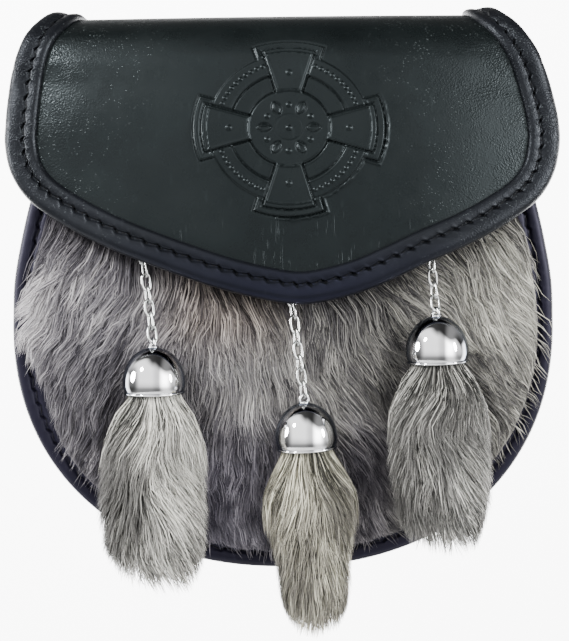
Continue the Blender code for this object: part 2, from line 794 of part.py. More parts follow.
def link_mesh():
    """A ring whose two halves are drawn apart."""
    bpy.ops.mesh.primitive_torus_add(
        major_segments=LINK_SIDES,
        minor_segments=WIRE_SIDES,
        major_radius=0.5 * (LINK_WIDTH - WIRE) * MM,
        minor_radius=0.5 * WIRE * MM,
        rotation=(0.5 * math.pi, 0.0, 0.0),
    )
    ring = bpy.context.object
    turn = Matrix.Rotation(math.pi / LINK_SIDES, 4, "Y") @ ring.matrix_basis
    mesh = ring.data
    mesh.transform(turn)
    bpy.data.objects.remove(ring)
    stretch = 0.5 * (LINK_LENGTH - LINK_WIDTH) * MM
    for vertex in mesh.vertices:
        vertex.co.z += math.copysign(stretch, vertex.co.z)
    mesh.shade_smooth()
    return mesh


def chain(drop, mesh):
    """The links of one chain, each turned a quarter against the one above it."""
    path = chain_line(drop)
    along = lengths_along(path)
    first = 0.5 * LINK_LENGTH - WIRE - 0.5 * GAP - 0.5 * STAPLE_WIRE
    last = along[-1] - (0.5 * LINK_LENGTH - WIRE - 0.5 * GAP - 0.5 * EYE_WIRE)
    links = []
    for k, at in enumerate(np.linspace(first, last, drop.links)):
        centre = Vector([np.interp(at, along, path[:, i]) for i in range(3)])
        above, below = (Vector([np.interp(at + d, along, path[:, i]) for i in range(3)]) for d in (-2.3, 2.3))
        up = (above - below).normalized()
        right = Vector((1.0, 0.0, 0.0))
        right = (right - up * right.dot(up)).normalized()
        turn = Matrix((right, up.cross(right), up)).transposed().to_4x4()
        roll = Matrix.Rotation(math.radians(LINK_ROLLS_DEG[k % 2]), 4, "Z")
        link = bpy.data.objects.new(f"link_{drop.side}_{k + 1:02d}", mesh.copy())
        link.matrix_basis = Matrix.Translation(centre * MM) @ turn @ roll
        links.append(link)
    return links


def chain_staple(drop):
    """A bent wire whose two legs go into the front panel."""
    top = chain_line(drop)[0]
    seat = float(front_y(top[0], top[2])) - GAP
    half, bend = STAPLE_HALF, 1.2
    rows = [
        (-half, seat - 0.4),
        (-half, STAPLE_Y + bend),
        (-half + bend, STAPLE_Y),
        (half - bend, STAPLE_Y),
        (half, STAPLE_Y + bend),
        (half, seat - 0.4),
    ]
    curve = bpy.data.curves.new(f"chain_staple_{drop.side}", "CURVE")
    curve.dimensions = "3D"
    curve.bevel_depth = 0.5 * STAPLE_WIRE * MM
    curve.bevel_resolution = 1
    curve.use_fill_caps = True
    spline = curve.splines.new("POLY")
    spline.points.add(len(rows) - 1)
    for point, (x, y) in zip(spline.points, rows):
        point.co = ((top[0] + x) * MM, y * MM, top[2] * MM, 1.0)
    return bpy.data.objects.new(curve.name, curve)


def cap(drop, cutters):
    """A turned dome with a short straight skirt and a wire eye on top."""
    skirt, wall = 4.0, CAP_WALL
    rise = CAP_HEIGHT - skirt
    outer = [(CAP_RADIUS * math.sin(a), -rise * (1.0 - math.cos(a))) for a in np.radians([0, 20, 42, 64, 90])]
    outer.append((CAP_RADIUS, -CAP_HEIGHT))
    inside = CAP_RADIUS - wall
    inner = [(inside, -CAP_HEIGHT), (inside, -rise)]
    inner += [(inside * math.sin(a), -wall - (rise - wall) * (1.0 - math.cos(a))) for a in np.radians([52, 26, 0])]
    dome = turned(f"cap_{drop.side}", outer + inner, CAP_STEPS)
    bpy.ops.mesh.primitive_torus_add(
        major_segments=10,
        minor_segments=WIRE_SIDES,
        major_radius=EYE_RADIUS * MM,
        minor_radius=0.5 * EYE_WIRE * MM,
    )
    eye = bpy.context.object
    eye.name = f"eye_{drop.side}"
    last_roll = LINK_ROLLS_DEG[drop.links % 2]
    dome.matrix_basis = Matrix.Translation(Vector(cap_top(drop)) * MM) @ cap_turn(drop)
    standing = Matrix.Rotation(0.5 * math.pi, 4, "X")
    lift = Matrix.Translation((0.0, 0.0, EYE_RISE * MM))
    eye.matrix_basis = dome.matrix_basis @ lift @ Matrix.Rotation(math.radians(last_roll), 4, "Z") @ standing
    unite(dome, eye, cutters)
    return dome


def tassel(drop):
    """Locks that hang from a round head inside the cap, flattened where they lie on the body."""
    count = 2 * TASSEL_LOCKS
    free = drop.length - CAP_HEIGHT
    head_low = CAP_HEIGHT - 1.0
    sections = [(TASSEL_HEAD_TOP, 0.5 * TASSEL_HEAD_RADIUS, 0.0)]
    sections += [(TASSEL_HEAD_TOP + 6.0, 0.88 * TASSEL_HEAD_RADIUS, 0.0)]
    sections += [(head_low, TASSEL_HEAD_RADIUS, 0.0)]
    for row, half in zip(TASSEL_ROWS, drop.halves):
        sections.append((CAP_HEIGHT + row.share * free, half, row.wave))
    points = [(0.0, 0.0, -TASSEL_HEAD_TOP)]
    for depth, half, wave in sections:
        flat = 1.0 + (TASSEL_FLATNESS - 1.0) * float(smooth_step(depth, CAP_HEIGHT, CAP_HEIGHT + 25.0))
        for k in range(count):
            angle = 2.0 * math.pi * (k / count + 0.02 * math.sin(depth / 9.0))
            radius = half * (1.0 + wave * (1 if k % 2 else -1))
            points.append((radius * math.cos(angle), flat * radius * math.sin(angle), -depth))
    for k in range(count):  # the locks' tips, and between them the ends of the gaps
        angle = 2.0 * math.pi * (k / count + 0.02)
        spread = drop.tip * (0.78 + 0.3 * golden(3 * k)) if k % 2 else 0.72 * drop.tip
        tip = drop.length * (0.93 + 0.07 * golden(k)) if k % 2 else drop.length * 0.885
        points.append((spread * math.cos(angle), TASSEL_FLATNESS * spread * math.sin(angle), -tip))
    points.append((0.0, 0.0, -0.86 * drop.length))
    rings = len(sections) + 1
    faces = [(0, 1 + k, 1 + (k + 1) % count) for k in range(count)]
    faces += [tuple(1 + i for i in f) for f in grid_faces(rings, count, closed=True)]
    start = 1 + (rings - 1) * count
    faces += [(start + k, start + (k + 1) % count, len(points) - 1) for k in range(count)]
    turn, top = cap_turn(drop), Vector(cap_top(drop))
    placed = []
    for point in points:
        p = top + turn @ Vector(point)
        if -point[2] > CAP_HEIGHT and rim_share(p.x, p.z) < 1.0:
            p.y = min(p.y, float(pressed_fur_y(p.x, p.z)) - 0.4)
        placed.append(p - top)
    made = mesh_object(f"tassel_{drop.side}", placed, faces)
    made.location = top * MM
    return recalculated(made)


# ---- the whole ----


def build():
    clear_scene()
    pouch = new_collection("Sporran")
    cutters = new_collection("Cutters")
    root = bpy.data.objects.new("strap_line", None)
    pouch.objects.link(root)
    placed = [
        (back_panel(), "black_leather"),
        (gusset(), "black_leather"),
        (front_panel(), "black_leather"),
        (fur_front(), "grey_fur"),
        (flap(cutters), "embossed_leather"),
        (flap_border(), "black_leather"),
        (press_stud(), "dull_metal"),
        (belt_loop("left", -LOOP_X), "black_leather"),
        (belt_loop("right", LOOP_X), "black_leather"),
    ]
    link = link_mesh()
    for drop in DROPS:
        placed.append((chain_staple(drop), "dull_metal"))
        placed += [(made, "bright_metal") for made in chain(drop, link)]
        placed.append((cap(drop, cutters), "bright_metal"))
        placed.append((tassel(drop), "tassel_fur"))
    for obj, kind in placed:
        place(obj, kind, pouch, root)


build()
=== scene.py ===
"""The sporran as it looks: its leather, stitches, chains, caps, fur, light and camera.

Lengths are in millimetres and turn into metres where an object is made, in the same frame as the
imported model: the front faces -Y, +X is to the right of somebody who looks at the front, +Z is up.
"""

import math
from collections import namedtuple

import bmesh
import bpy
import numpy as np
from mathutils import Matrix, Vector
from mathutils.kdtree import KDTree


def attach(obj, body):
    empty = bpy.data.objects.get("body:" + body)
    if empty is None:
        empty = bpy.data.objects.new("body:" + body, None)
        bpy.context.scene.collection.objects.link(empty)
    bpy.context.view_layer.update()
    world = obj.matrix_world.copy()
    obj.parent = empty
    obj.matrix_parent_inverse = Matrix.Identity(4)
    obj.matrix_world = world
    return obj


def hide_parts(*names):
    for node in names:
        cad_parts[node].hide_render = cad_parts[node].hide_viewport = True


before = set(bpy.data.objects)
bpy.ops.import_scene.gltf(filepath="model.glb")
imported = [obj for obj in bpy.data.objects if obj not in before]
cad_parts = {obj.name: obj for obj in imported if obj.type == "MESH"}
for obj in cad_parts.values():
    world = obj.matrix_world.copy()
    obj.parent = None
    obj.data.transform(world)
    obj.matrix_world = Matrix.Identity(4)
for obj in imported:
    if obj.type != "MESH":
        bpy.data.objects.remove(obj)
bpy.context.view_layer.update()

MM = 0.001
GAP = 0.3  # between pieces that are sewn or riveted together

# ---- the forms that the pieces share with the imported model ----

BODY_CENTRE_Z = -49.0
BODY_RADIUS = 95.2
BODY_DROP = 86.0
BODY_SQUARENESS = 2.2
SHOULDER = [(0.0, 47.0), (30.0, 47.0), (55.0, 45.5), (70.0, 40.0), (78.5, 29.0)]  # X and Z down the right side
SHOULDER += [(83.0, 13.0), (88.6, -5.0), (92.2, -20.0), (94.6, -34.0), (BODY_RADIUS, BODY_CENTRE_Z)]
BACK_THICKNESS = 2.5
GUSSET_THICKNESS = 1.8
GUSSET_DEPTH = 25.2
GUSSET_FLANGE = 8.0
GUSSET_INSET = 1.5
GUSSET_TOP_Z = 42.0  # where its two ends are
FRONT_THICKNESS = 2.2
FRONT_BULGE = 7.0
FRONT_BULGE_POWER = 2.5
MOUTH_Z = 38.0  # the front panel's upper edge
FRONT_OUTER_Y = -(BACK_THICKNESS + GUSSET_DEPTH + 2 * GAP + FRONT_THICKNESS)

FUR_TUCK = 3.4  # how far the coat goes up under the flap
FUR_DEPTH = 6.0
FUR_PRESSED = 3.0  # its depth under the flap and the drops
CHAIN_FURROW = 4.0  # half as wide as the pressed strip under a chain
FUR_EDGE = 0.895  # where the coat's roots end, as a share of the body's radius
FUR_REACH = 0.93  # where most of its hairs end
FUR_SIDE_X = 81.0
FUR_SIDE_Z = -2.0
FUR_FAN_DEG = 84.0

FLAP_THICKNESS = 2.0
FLAP_SIDE_FALL = 13.0  # how far its sides fall back
FLAP_HALF_WIDTH = 95.0
FLAP_FALL = (38.0, 85.0)  # the places along it between which its sides begin to fall back
FLAP_LEAN = 0.012
FLAP_LEAN_ENDS = (50.0, 110.0)
FLAP_PATH = [(2.3, 34.25), (2.3, 49.4), (-3.5, 57.9), (-13.0, 60.2), (-26.0, 60.1), (-39.0, 55.9)]  # Y and Z
FLAP_PATH += [(-46.0, 46.8), (-49.0, 34.2), (-51.0, 20.0), (-52.0, 0.0), (-52.3, -20.0), (-52.1, -42.0)]
FLAP_PATTERN = np.array(  # along, half width, middle
    [
        *[(0.0, 74.0, -1.0), (26.0, 77.3, -2.6), (40.0, 78.0, -3.7), (50.0, 80.6, -4.0), (60.0, 85.4, -3.4)],
        *[(70.0, 89.4, -2.2), (80.0, 91.8, -1.5), (90.0, 93.8, -0.7), (98.0, 94.8, -0.3), (106.0, 95.0, -0.3)],
        *[(116.0, 92.8, -0.2), (125.0, 86.7, 0.0), (133.0, 75.5, 0.3), (139.5, 63.3, 0.5), (145.0, 50.3, 0.8)],
        *[(150.5, 36.8, 2.6), (155.0, 24.6, 4.3), (158.3, 12.0, 5.6)],
    ]
)
FLAP_TIP = (5.9, 160.0)  # across and along
FLAP_INSET = 0.5
BORDER_FROM = 20.0  # where the binding begins along the flap

LOOP_X = 45.0
LOOP_WIDTH = 20.0
LOOP_CLEARANCE = 6.3
LOOP_STRAP_HALF = 14.0
LOOP_BEND = 5.0
LOOP_FOOT = 8.0
LOOP_THICKNESS = 2.0
LOOP_ROUNDING = 0.7

WIRE = 0.95
LINK_LENGTH = 6.8
LINK_WIDTH = 4.1
LINK_ROLLS_DEG = (-62.0, 28.0)
STAPLE_WIRE = 1.2
STAPLE_Y = -43.6
CHAIN_SAG_POWER = 1.8
CAP_RADIUS = 10.9
CAP_HEIGHT = 16.2
CAP_WALL = 0.8
CAP_DOME = 12.5
CAP_TAPER = 0.55
EYE_RADIUS = 1.7
EYE_WIRE = 1.0
EYE_RISE = 1.0
TASSEL_FLATNESS = 0.68
TASSEL_SHARES = (0.10, 0.24, 0.42, 0.62, 0.80)
FUR_CLEARANCE = 0.4  # between the coat and what hangs on it
Drop = namedtuple("Drop", "side cap_x cap_top_z lean_deg staple_x links length halves tip")
DROPS = [
    Drop("left", -44.7, -54.6, 1.2, -49.4, 8, 84.5, (12.8, 16.3, 18.4, 18.9, 17.8), 12.5),
    Drop("middle", 7.3, -73.8, 3.2, 2.0, 9, 80.8, (11.4, 15.3, 16.1, 13.1, 12.3), 8.0),
    Drop("right", 52.6, -43.9, 2.2, 50.6, 6, 81.8, (12.6, 16.0, 17.6, 18.0, 16.6), 11.0),
]


# ---- curves ----


def lengths_along(path):
    steps = np.linalg.norm(np.diff(path, axis=0), axis=1)
    return np.concatenate([[0.0], np.cumsum(steps)])


def resampled(path, count):
    along = lengths_along(path)
    return np.column_stack(sampled(np.linspace(0.0, along[-1], count), along, path))


def curve_through(given, count):
    """Evenly spaced points on a Catmull-Rom curve through the given points."""
    given = np.array(given, float)
    ends = np.vstack([2 * given[0] - given[1], given, 2 * given[-1] - given[-2]])
    t = np.linspace(0.0, 1.0, 24, endpoint=False)[:, None]
    spans = []
    for a, b, c, d in zip(ends, ends[1:], ends[2:], ends[3:]):
        bend = (2 * a - 5 * b + 4 * c - d) * t**2 + (3 * b - a - 3 * c + d) * t**3
        spans.append(0.5 * (2 * b + (c - a) * t + bend))
    return resampled(np.vstack([*spans, given[-1:]]), count)


def points(x, y, z):
    """Points from coordinates whose shapes fit each other."""
    return np.stack(np.broadcast_arrays(x, y, z), axis=-1)


def sampled(at, along, path):
    """A path's columns at places along it."""
    return [np.interp(at, along, column) for column in path.T]


def unit(vectors):
    return vectors / (np.linalg.norm(vectors, axis=-1)[..., None] + 1e-12)


def turns(count):
    return 2.0 * math.pi * np.arange(count) / count


def smooth_step(value, low, high):
    t = np.clip((value - low) / (high - low), 0.0, 1.0)
    return t * t * (3.0 - 2.0 * t)


def hump(distance, width):
    """1 at no distance, and less and less to both sides."""
    return np.exp(-((distance / width) ** 2))


def to_right(ahead):
    return unit(ahead)[:, ::-1] * [1.0, -1.0]


def inward(path, closed=False):
    """The directions across a path that runs clockwise on its pattern, to its inside."""
    if closed:
        return to_right(np.roll(path, -1, axis=0) - np.roll(path, 1, axis=0))
    return to_right(np.gradient(path, axis=0))


def body_outline(count, inset=0.0):
    """The body's outline in X and Z: from the top middle down the right side and up the left."""
    upper = curve_through(SHOULDER, 120)
    angle = np.linspace(0.0, -0.5 * math.pi, 120)[1:]
    cos, sin = np.abs(np.cos(angle)), np.abs(np.sin(angle))
    reach = 1.0 / (cos**BODY_SQUARENESS + sin**BODY_SQUARENESS) ** (1 / BODY_SQUARENESS)
    lower = np.column_stack([BODY_RADIUS * reach * cos, BODY_CENTRE_Z - BODY_DROP * reach * sin])
    half = np.vstack([upper, lower])
    ring = np.vstack([half, (half * [-1.0, 1.0])[::-1][1:]])
    if inset:
        along = np.gradient(ring, axis=0)
        along[0] = along[-1] = (1.0, 0.0)
        ring = ring + inset * to_right(along)
    return resampled(ring, count + 1)[:-1]


OUTLINE = body_outline(720)
OUTLINE_ANGLES = np.arctan2(OUTLINE[:, 1] - BODY_CENTRE_Z, OUTLINE[:, 0])
OUTLINE_RADII = np.hypot(OUTLINE[:, 0], OUTLINE[:, 1] - BODY_CENTRE_Z)


def rim_radius(angle):
    return np.interp(angle, OUTLINE_ANGLES, OUTLINE_RADII, period=2 * math.pi)


def rim_share(x, z):
    """0 at the body's centre, 1 at its edge."""
    return np.hypot(x, z - BODY_CENTRE_Z) / rim_radius(np.arctan2(z - BODY_CENTRE_Z, x))


def front_y(x, z):
    share = np.minimum(rim_share(x, z), 1.0)
    return FRONT_OUTER_Y - FRONT_BULGE * (1.0 - share**FRONT_BULGE_POWER)


def pressed_fur_y(x, z):
    return front_y(x, z) - GAP - FUR_PRESSED


FLAP_LINE = curve_through(FLAP_PATH, 700)
FLAP_ALONG = lengths_along(FLAP_LINE)
FLAP_LENGTH = FLAP_ALONG[-1]
FLAP_TANGENTS = np.gradient(FLAP_LINE, FLAP_ALONG, axis=0)


def flap_base(x, along):
    y, z = sampled(along, FLAP_ALONG, FLAP_LINE)
    ty, tz = sampled(along, FLAP_ALONG, FLAP_TANGENTS)
    size = np.hypot(ty, tz)
    weight = smooth_step(along, *FLAP_FALL)
    fall = weight * FLAP_SIDE_FALL * np.abs(x / FLAP_HALF_WIDTH) ** 2.5
    lean = FLAP_LEAN * x * (1.0 - smooth_step(along, *FLAP_LEAN_ENDS))
    return points(x, y - tz / size * fall, z + ty / size * fall + lean)


def flap_point(x, along, lift=0.0):
    """Points so far above the flap's outer face."""
    step = 0.5
    along = np.clip(along, step, FLAP_LENGTH - step)
    across = flap_base(x + step, along) - flap_base(x - step, along)
    down = flap_base(x, along + step) - flap_base(x, along - step)
    return flap_base(x, along) - np.asarray(lift)[..., None] * unit(np.cross(across, down))


def flap_edge(count):
    """The flap's free edge on its pattern: down the left side, round the tip and up the right."""
    along, half, middle = FLAP_PATTERN.T
    left, right = (np.column_stack([middle + side * half, along]) for side in (-1.0, 1.0))
    return curve_through([*left, FLAP_TIP, *right[::-1]], count)


FLAP_EDGE_LOW = flap_edge(400)
FLAP_EDGE_LOW = FLAP_EDGE_LOW[FLAP_EDGE_LOW[:, 1] > 106.0]


def flap_edge_height(x):
    along = np.interp(x, FLAP_EDGE_LOW[:, 0], FLAP_EDGE_LOW[:, 1])
    return np.interp(along, FLAP_ALONG, FLAP_LINE[:, 1])


def lattice_noise(x, y, size, seed):
    """Smooth noise from -1 to 1 with features about this size."""
    grid = np.random.default_rng(seed).uniform(-1.0, 1.0, (64, 64))
    u, v = np.asarray(x) / size + 31.7, np.asarray(y) / size + 17.3
    i, j = np.floor(u).astype(int), np.floor(v).astype(int)
    s, t = u - i, v - j
    s, t = s * s * (3 - 2 * s), t * t * (3 - 2 * t)
    i, j, k, m = i % 64, j % 64, (i + 1) % 64, (j + 1) % 64
    low = grid[i, j] * (1 - s) + grid[k, j] * s
    high = grid[i, m] * (1 - s) + grid[k, m] * s
    return low * (1 - t) + high * t


# ---- meshes ----


def piece(name, spots, faces, look, nodes=()):
    """A mesh from points in millimetres and arrays of faces, as part of the pouch."""
    mesh = bpy.data.meshes.new(name)
    mesh.from_pydata((spots * MM).tolist(), [], [face for array in faces for face in array.tolist()])
    mesh.validate()
    mesh.shade_smooth()
    mesh.set_sharp_from_angle(angle=math.radians(50))
    mesh.materials.append(LOOKS[look])
    made = bpy.data.objects.new(name, mesh)
    bpy.context.scene.collection.objects.link(made)
    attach(made, "root")
    if nodes:
        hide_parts(*nodes)
    return made


class Shape:
    """Points and faces of several surfaces that make up one piece."""

    def __init__(self):
        self.spots, self.faces, self.count = [], [], 0

    def grid(self, spots, closed=False, flip=False):
        """A grid of points with the shape rows, columns, 3."""
        rows, columns = spots.shape[:2]
        r, c = np.meshgrid(np.arange(rows - 1), np.arange(columns if closed else columns - 1), indexing="ij")
        r, c = r.ravel() * columns, c.ravel()
        d = (c + 1) % columns
        faces = self.count + np.column_stack([r + c, r + d, r + columns + d, r + columns + c])
        self.add(spots.reshape(-1, 3), faces[:, ::-1] if flip else faces)

    def ring(self, spots):
        self.grid(np.concatenate([spots, spots[:1]]), closed=True, flip=True)

    def fan(self, ring, centre=None):
        """Triangles from a ring to its centre."""
        k, count = np.arange(len(ring)), len(ring)
        faces = np.column_stack([np.full(count, count), k, (k + 1) % count])
        self.add(np.vstack([ring, ring.mean(axis=0)[None] if centre is None else centre]), self.count + faces)

    def walls(self, face, back):
        """The four sides between a grid of points and the one behind it."""
        sides = (face[0], back[0]), (back[-1], face[-1]), (back[:, 0], face[:, 0]), (face[:, -1], back[:, -1])
        for side in sides:
            self.grid(np.stack(side), flip=True)

    def add(self, spots, faces):
        self.spots.append(spots)
        self.faces.append(faces)
        self.count += len(spots)

    def made(self, name, look, nodes=(), slot="black_leather"):
        return piece(name, np.vstack(self.spots), self.faces, look, nodes)


# ---- materials ----


class Tree:
    """The nodes of a material or a world. A value is a number, a colour or another node's socket."""

    def __init__(self, owner, shader="Principled BSDF", place="Object"):
        owner.use_nodes = True
        self.owner, self.nodes, self.links = owner, owner.node_tree.nodes, owner.node_tree.links
        self.shader = self.nodes[shader]
        self.place = self.node("TexCoord").outputs[place]
        self.part = self.node("SeparateXYZ", Vector=self.place).outputs

    def put(self, socket, value):
        if isinstance(value, bpy.types.NodeSocket):
            self.links.new(value, socket)
        elif value is not None:
            socket.default_value = (*value, 1.0) if socket.type == "RGBA" else value

    def node(self, kind, settings=(), **inputs):
        made = self.nodes.new("ShaderNode" + kind)
        for name, value in dict(settings).items():
            setattr(made, name, value)
        for name, value in inputs.items():
            self.put(made.inputs[name.replace("_", " ")], value)
        return made

    def set(self, **inputs):
        for name, value in inputs.items():
            self.put(self.shader.inputs[name.replace("_", " ")], value)
        return self.owner

    def math(self, operation, *values):
        made = self.node("Math", {"operation": operation})
        for socket, value in zip(made.inputs, values):
            self.put(socket, value)
        return made.outputs["Value"]

    def product(self, first, *others):
        for other in others:
            first = self.math("MULTIPLY", first, other)
        return first

    def noise(self, scale, detail=3.0, roughness=0.5, stretch=None):
        place = self.place
        if stretch:
            place = self.node("Mapping", Vector=place, Scale=stretch).outputs["Vector"]
        made = self.node("TexNoise", Vector=place, Scale=scale, Detail=detail, Roughness=roughness)
        return made.outputs["Fac"]

    def cells(self, scale, feature="SMOOTH_F1"):
        return self.node("TexVoronoi", {"feature": feature}, Vector=self.place, Scale=scale).outputs["Distance"]

    def ramp(self, fac, stops):
        made = self.node("ValToRGB", Fac=fac)
        elements = made.color_ramp.elements
        for element, (at, colour) in zip(elements, (stops[0], stops[-1])):
            element.position, element.color = at, (*colour, 1.0)
        for at, colour in stops[1:-1]:
            elements.new(at).color = (*colour, 1.0)
        return made.outputs["Color"]

    def range(self, value, low, high, start=0.3, end=0.7, kind="LINEAR"):
        """From low at start to high at end, and level beyond them."""
        ends = dict(From_Min=start, From_Max=end, To_Min=low, To_Max=high)
        return self.node("MapRange", {"interpolation_type": kind}, Value=value, **ends).outputs["Result"]

    def step(self, value, start, end):
        return self.range(value, 0.0, 1.0, start, end)

    def mix(self, fac, a, b, blend="MIX"):
        made = self.node("Mix", {"data_type": "RGBA", "blend_type": blend})
        colours = [socket for socket in made.inputs if socket.type == "RGBA"]
        for socket, value in zip([made.inputs["Factor"], *colours], (fac, a, b)):
            self.put(socket, value)
        return next(socket for socket in made.outputs if socket.type == "RGBA")

    def bump(self, height, strength, distance, below=None):
        made = self.node("Bump", Height=height, Strength=strength, Distance=distance * MM, Normal=below)
        return made.outputs["Normal"]


def material(name):
    return Tree(bpy.data.materials.new(name))


LEFT_LESS = 10.0  # how much further out the left pebbled zone lies
UPPER_Z, UPPER_SHARE = 13.0, 0.38  # above this height the zones widen by this share of the rest
CREASED_BELOW, SMOOTH_ABOVE = -26.0, -4.0
# where the painted navy reflection low on the binding gives way to its own sheen
LOW_SHEEN_BELOW, SHEEN_ABOVE = -38.0, -16.0
# the colour of the painted glints on the raised dots beside the pebbled grain
PAINTED_GLINT_COLOUR = (0.050, 0.058, 0.058)


def leather(
    name, dark, light, roughness, grain=0.12, pebbled=None, sheen=(0.82, 0.95, 1.0), painted_low_sheen=None, creased=False
):
    """Finished black leather: a fine grain, polished high spots and a little mottling.

    pebbled: the distances to the right of the middle between which the grain stands out more and more,
    with raised dots beside it whose pale colour is a painted glint. painted_low_sheen: a painted reflection colour,
    the sheen's tint low on the flap. creased: with fine, broken creases below the cross.
    """
    tree = material(name)
    x, z = tree.part["X"], tree.part["Z"]
    colour = tree.ramp(tree.noise(38.0, 4.0, 0.6), [(0.3, dark), (0.72, light)])
    flecks = tree.range(tree.noise(420.0, 2.0, stretch=(1.0, 1.0, 0.28)), 0.0, 0.35, 0.66, 0.80)
    colour = tree.mix(flecks, colour, tuple(2.6 * c for c in light))
    normal = tree.bump(tree.cells(1250.0), grain, 0.12)
    normal = tree.bump(tree.noise(300.0, 6.0, 0.6), 0.07, 0.25, normal)
    if pebbled:
        near, far = pebbled
        left = tree.math("SUBTRACT", tree.math("MULTIPLY", x, -1.0), LEFT_LESS * MM)
        higher = tree.math("MAXIMUM", tree.math("SUBTRACT", z, UPPER_Z * MM), 0.0)
        aside = tree.math("ADD", tree.math("MAXIMUM", x, left), tree.math("MULTIPLY", higher, UPPER_SHARE))
        patches = tree.range(tree.noise(70.0, 3.0, 0.6), 0.25, 1.0, 0.40, 0.60)
        pebbles = tree.product(tree.step(aside, near * MM, far * MM), patches, tree.cells(1900.0))
        normal = tree.bump(pebbles, 1.0, 0.26, normal)
        # raised dots beside the pebbled grain; the paleness they are given below is a painted glint
        bumps_and_painted_glints = tree.product(
            tree.range(tree.cells(950.0, "F1"), 1.0, 0.0, 0.12, 0.30),
            tree.step(tree.noise(330.0, 1.0), 0.44, 0.60),
            tree.step(tree.noise(75.0, 4.0, 0.7), 0.38, 0.56),
            tree.step(aside, (near - 18.0) * MM, (far - 20.0) * MM),
        )
        normal = tree.bump(bumps_and_painted_glints, 1.0, 0.16, normal)
        # painted glints: the dots' colour is lightened as if they caught the light
        colour = tree.mix(tree.math("MULTIPLY", bumps_and_painted_glints, 0.8), colour, PAINTED_GLINT_COLOUR)
    if creased:
        creases = tree.product(
            tree.step(tree.noise(950.0, 2.0, stretch=(1.0, 1.0, 0.09)), 0.60, 0.68),
            tree.range(z, 1.0, 0.0, CREASED_BELOW * MM, SMOOTH_ABOVE * MM),
            tree.step(tree.noise(110.0, 2.0), 0.46, 0.58),
        )
        normal = tree.bump(creases, 1.0, 0.16, normal)
    # painted reflection: the sheen is tinted towards navy low down
    if painted_low_sheen:
        low = tree.range(z, 1.0, 0.0, LOW_SHEEN_BELOW * MM, SHEEN_ABOVE * MM)
        sheen = tree.mix(low, sheen, painted_low_sheen)
    return tree.set(
        Base_Color=colour,
        Roughness=tree.range(tree.noise(130.0, 5.0, 0.65), roughness - 0.05, roughness + 0.08),
        Normal=tree.bump(tree.noise(45.0, 2.0, 0.4), 0.12, 1.2, normal),
        Specular_IOR_Level=0.17,
        Specular_Tint=sheen,
    )


def waxed_thread():
    tree = material("waxed_thread")
    turns = tree.noise(900.0, 2.0, stretch=(1.0, 1.0, 1.6))
    colour = tree.ramp(turns, [(0.3, (0.002, 0.002, 0.0025)), (0.7, (0.007, 0.007, 0.008))])
    return tree.set(Base_Color=colour, Normal=tree.bump(turns, 0.4, 0.2), Roughness=0.65, Specular_IOR_Level=0.15)


def metal(name, colour, roughness, smudge, bump_size=0.05, edge=None):
    """Bare or plated metal, a little smudged. edge: a painted dark reflection, its colour where it turns away."""
    tree = material(name)
    shade = tree.ramp(tree.noise(90.0), [(0.3, tuple(0.93 * c for c in colour)), (0.7, colour)])
    # painted reflection: darker and bluer where the surface turns away, as if it mirrored shaded fur
    if edge:
        shade = tree.mix(tree.step(tree.node("LayerWeight").outputs["Facing"], 0.34, 0.62), shade, edge)
    return tree.set(
        Base_Color=shade,
        Roughness=tree.range(tree.noise(160.0, 4.0, 0.6), roughness, roughness + smudge, 0.4, 0.75),
        Normal=tree.bump(tree.noise(700.0), 0.05, bump_size),
        Metallic=1.0,
    )


FUR_MAP = "OFBake"  # across: a hair's own tone; up: from its root to its tip


def fur(name, root, tones, tip, left=(1.0, 1.0, 1.0), right=(1.0, 1.0, 1.0), patches=()):
    """Hair that is dark at its root and pale towards its tip. Each hair has a tone of its own.

    left, right: how the colour is tinted towards the object's two sides; patches: tinted places, some of
    them painted shade, as (X, Z, half width, half height, tint), in millimetres.
    """
    tree = material(name)
    place = tree.node("UVMap", {"uv_map": FUR_MAP}).outputs["UV"]
    own, level = tree.node("SeparateXYZ", Vector=place).outputs[:2]
    body = tree.mix(tree.step(level, 0.02, 0.45), root, tree.ramp(own, tones))
    colour = tree.mix(tree.range(level, 0.0, 0.35, 0.6, 1.0), body, tip)
    tint = tree.mix(tree.step(tree.part["X"], -60.0 * MM, 45.0 * MM), left, right)
    for x, z, wide, high, patch in patches:
        inside = []
        for axis, middle, half in (("X", x, wide), ("Z", z, high)):
            away = tree.math("ABSOLUTE", tree.math("SUBTRACT", tree.part[axis], middle * MM))
            inside.append(tree.range(away, 1.0, 0.0, 0.5 * half * MM, 1.4 * half * MM))
        tint = tree.mix(tree.product(*inside), tint, patch, "MULTIPLY")
    return tree.set(Base_Color=tree.mix(1.0, colour, tint, "MULTIPLY"), Roughness=0.45, Specular_IOR_Level=0.10)


def skin(name, dark, light):
    """The dense underfur between the hairs."""
    tree = material(name)
    hairs = tree.noise(900.0, 4.0, 0.6, stretch=(1.0, 0.4, 0.12))
    colour = tree.ramp(hairs, [(0.35, dark), (0.7, light)])
    return tree.set(Base_Color=colour, Normal=tree.bump(hairs, 0.6, 0.6), Roughness=0.85, Specular_IOR_Level=0.15)


def tassel_fur(name, warm):
    """The tassels' hair, a little warmer or cooler in each."""
    shades = ((0.0, 0.008), (0.3, 0.022), (0.5, 0.11), (0.7, 0.40), (1.0, 0.95))
    tones = [(at, (v, v * (1.0 - 0.2 * warm), v * (1.0 - 1.2 * warm))) for at, v in shades]
    pale = (0.40, 0.40 * (1.0 - 0.3 * warm), 0.40 * (1.0 - 0.8 * warm))
    return fur(name, (0.014, 0.0135, 0.0125), tones, pale)


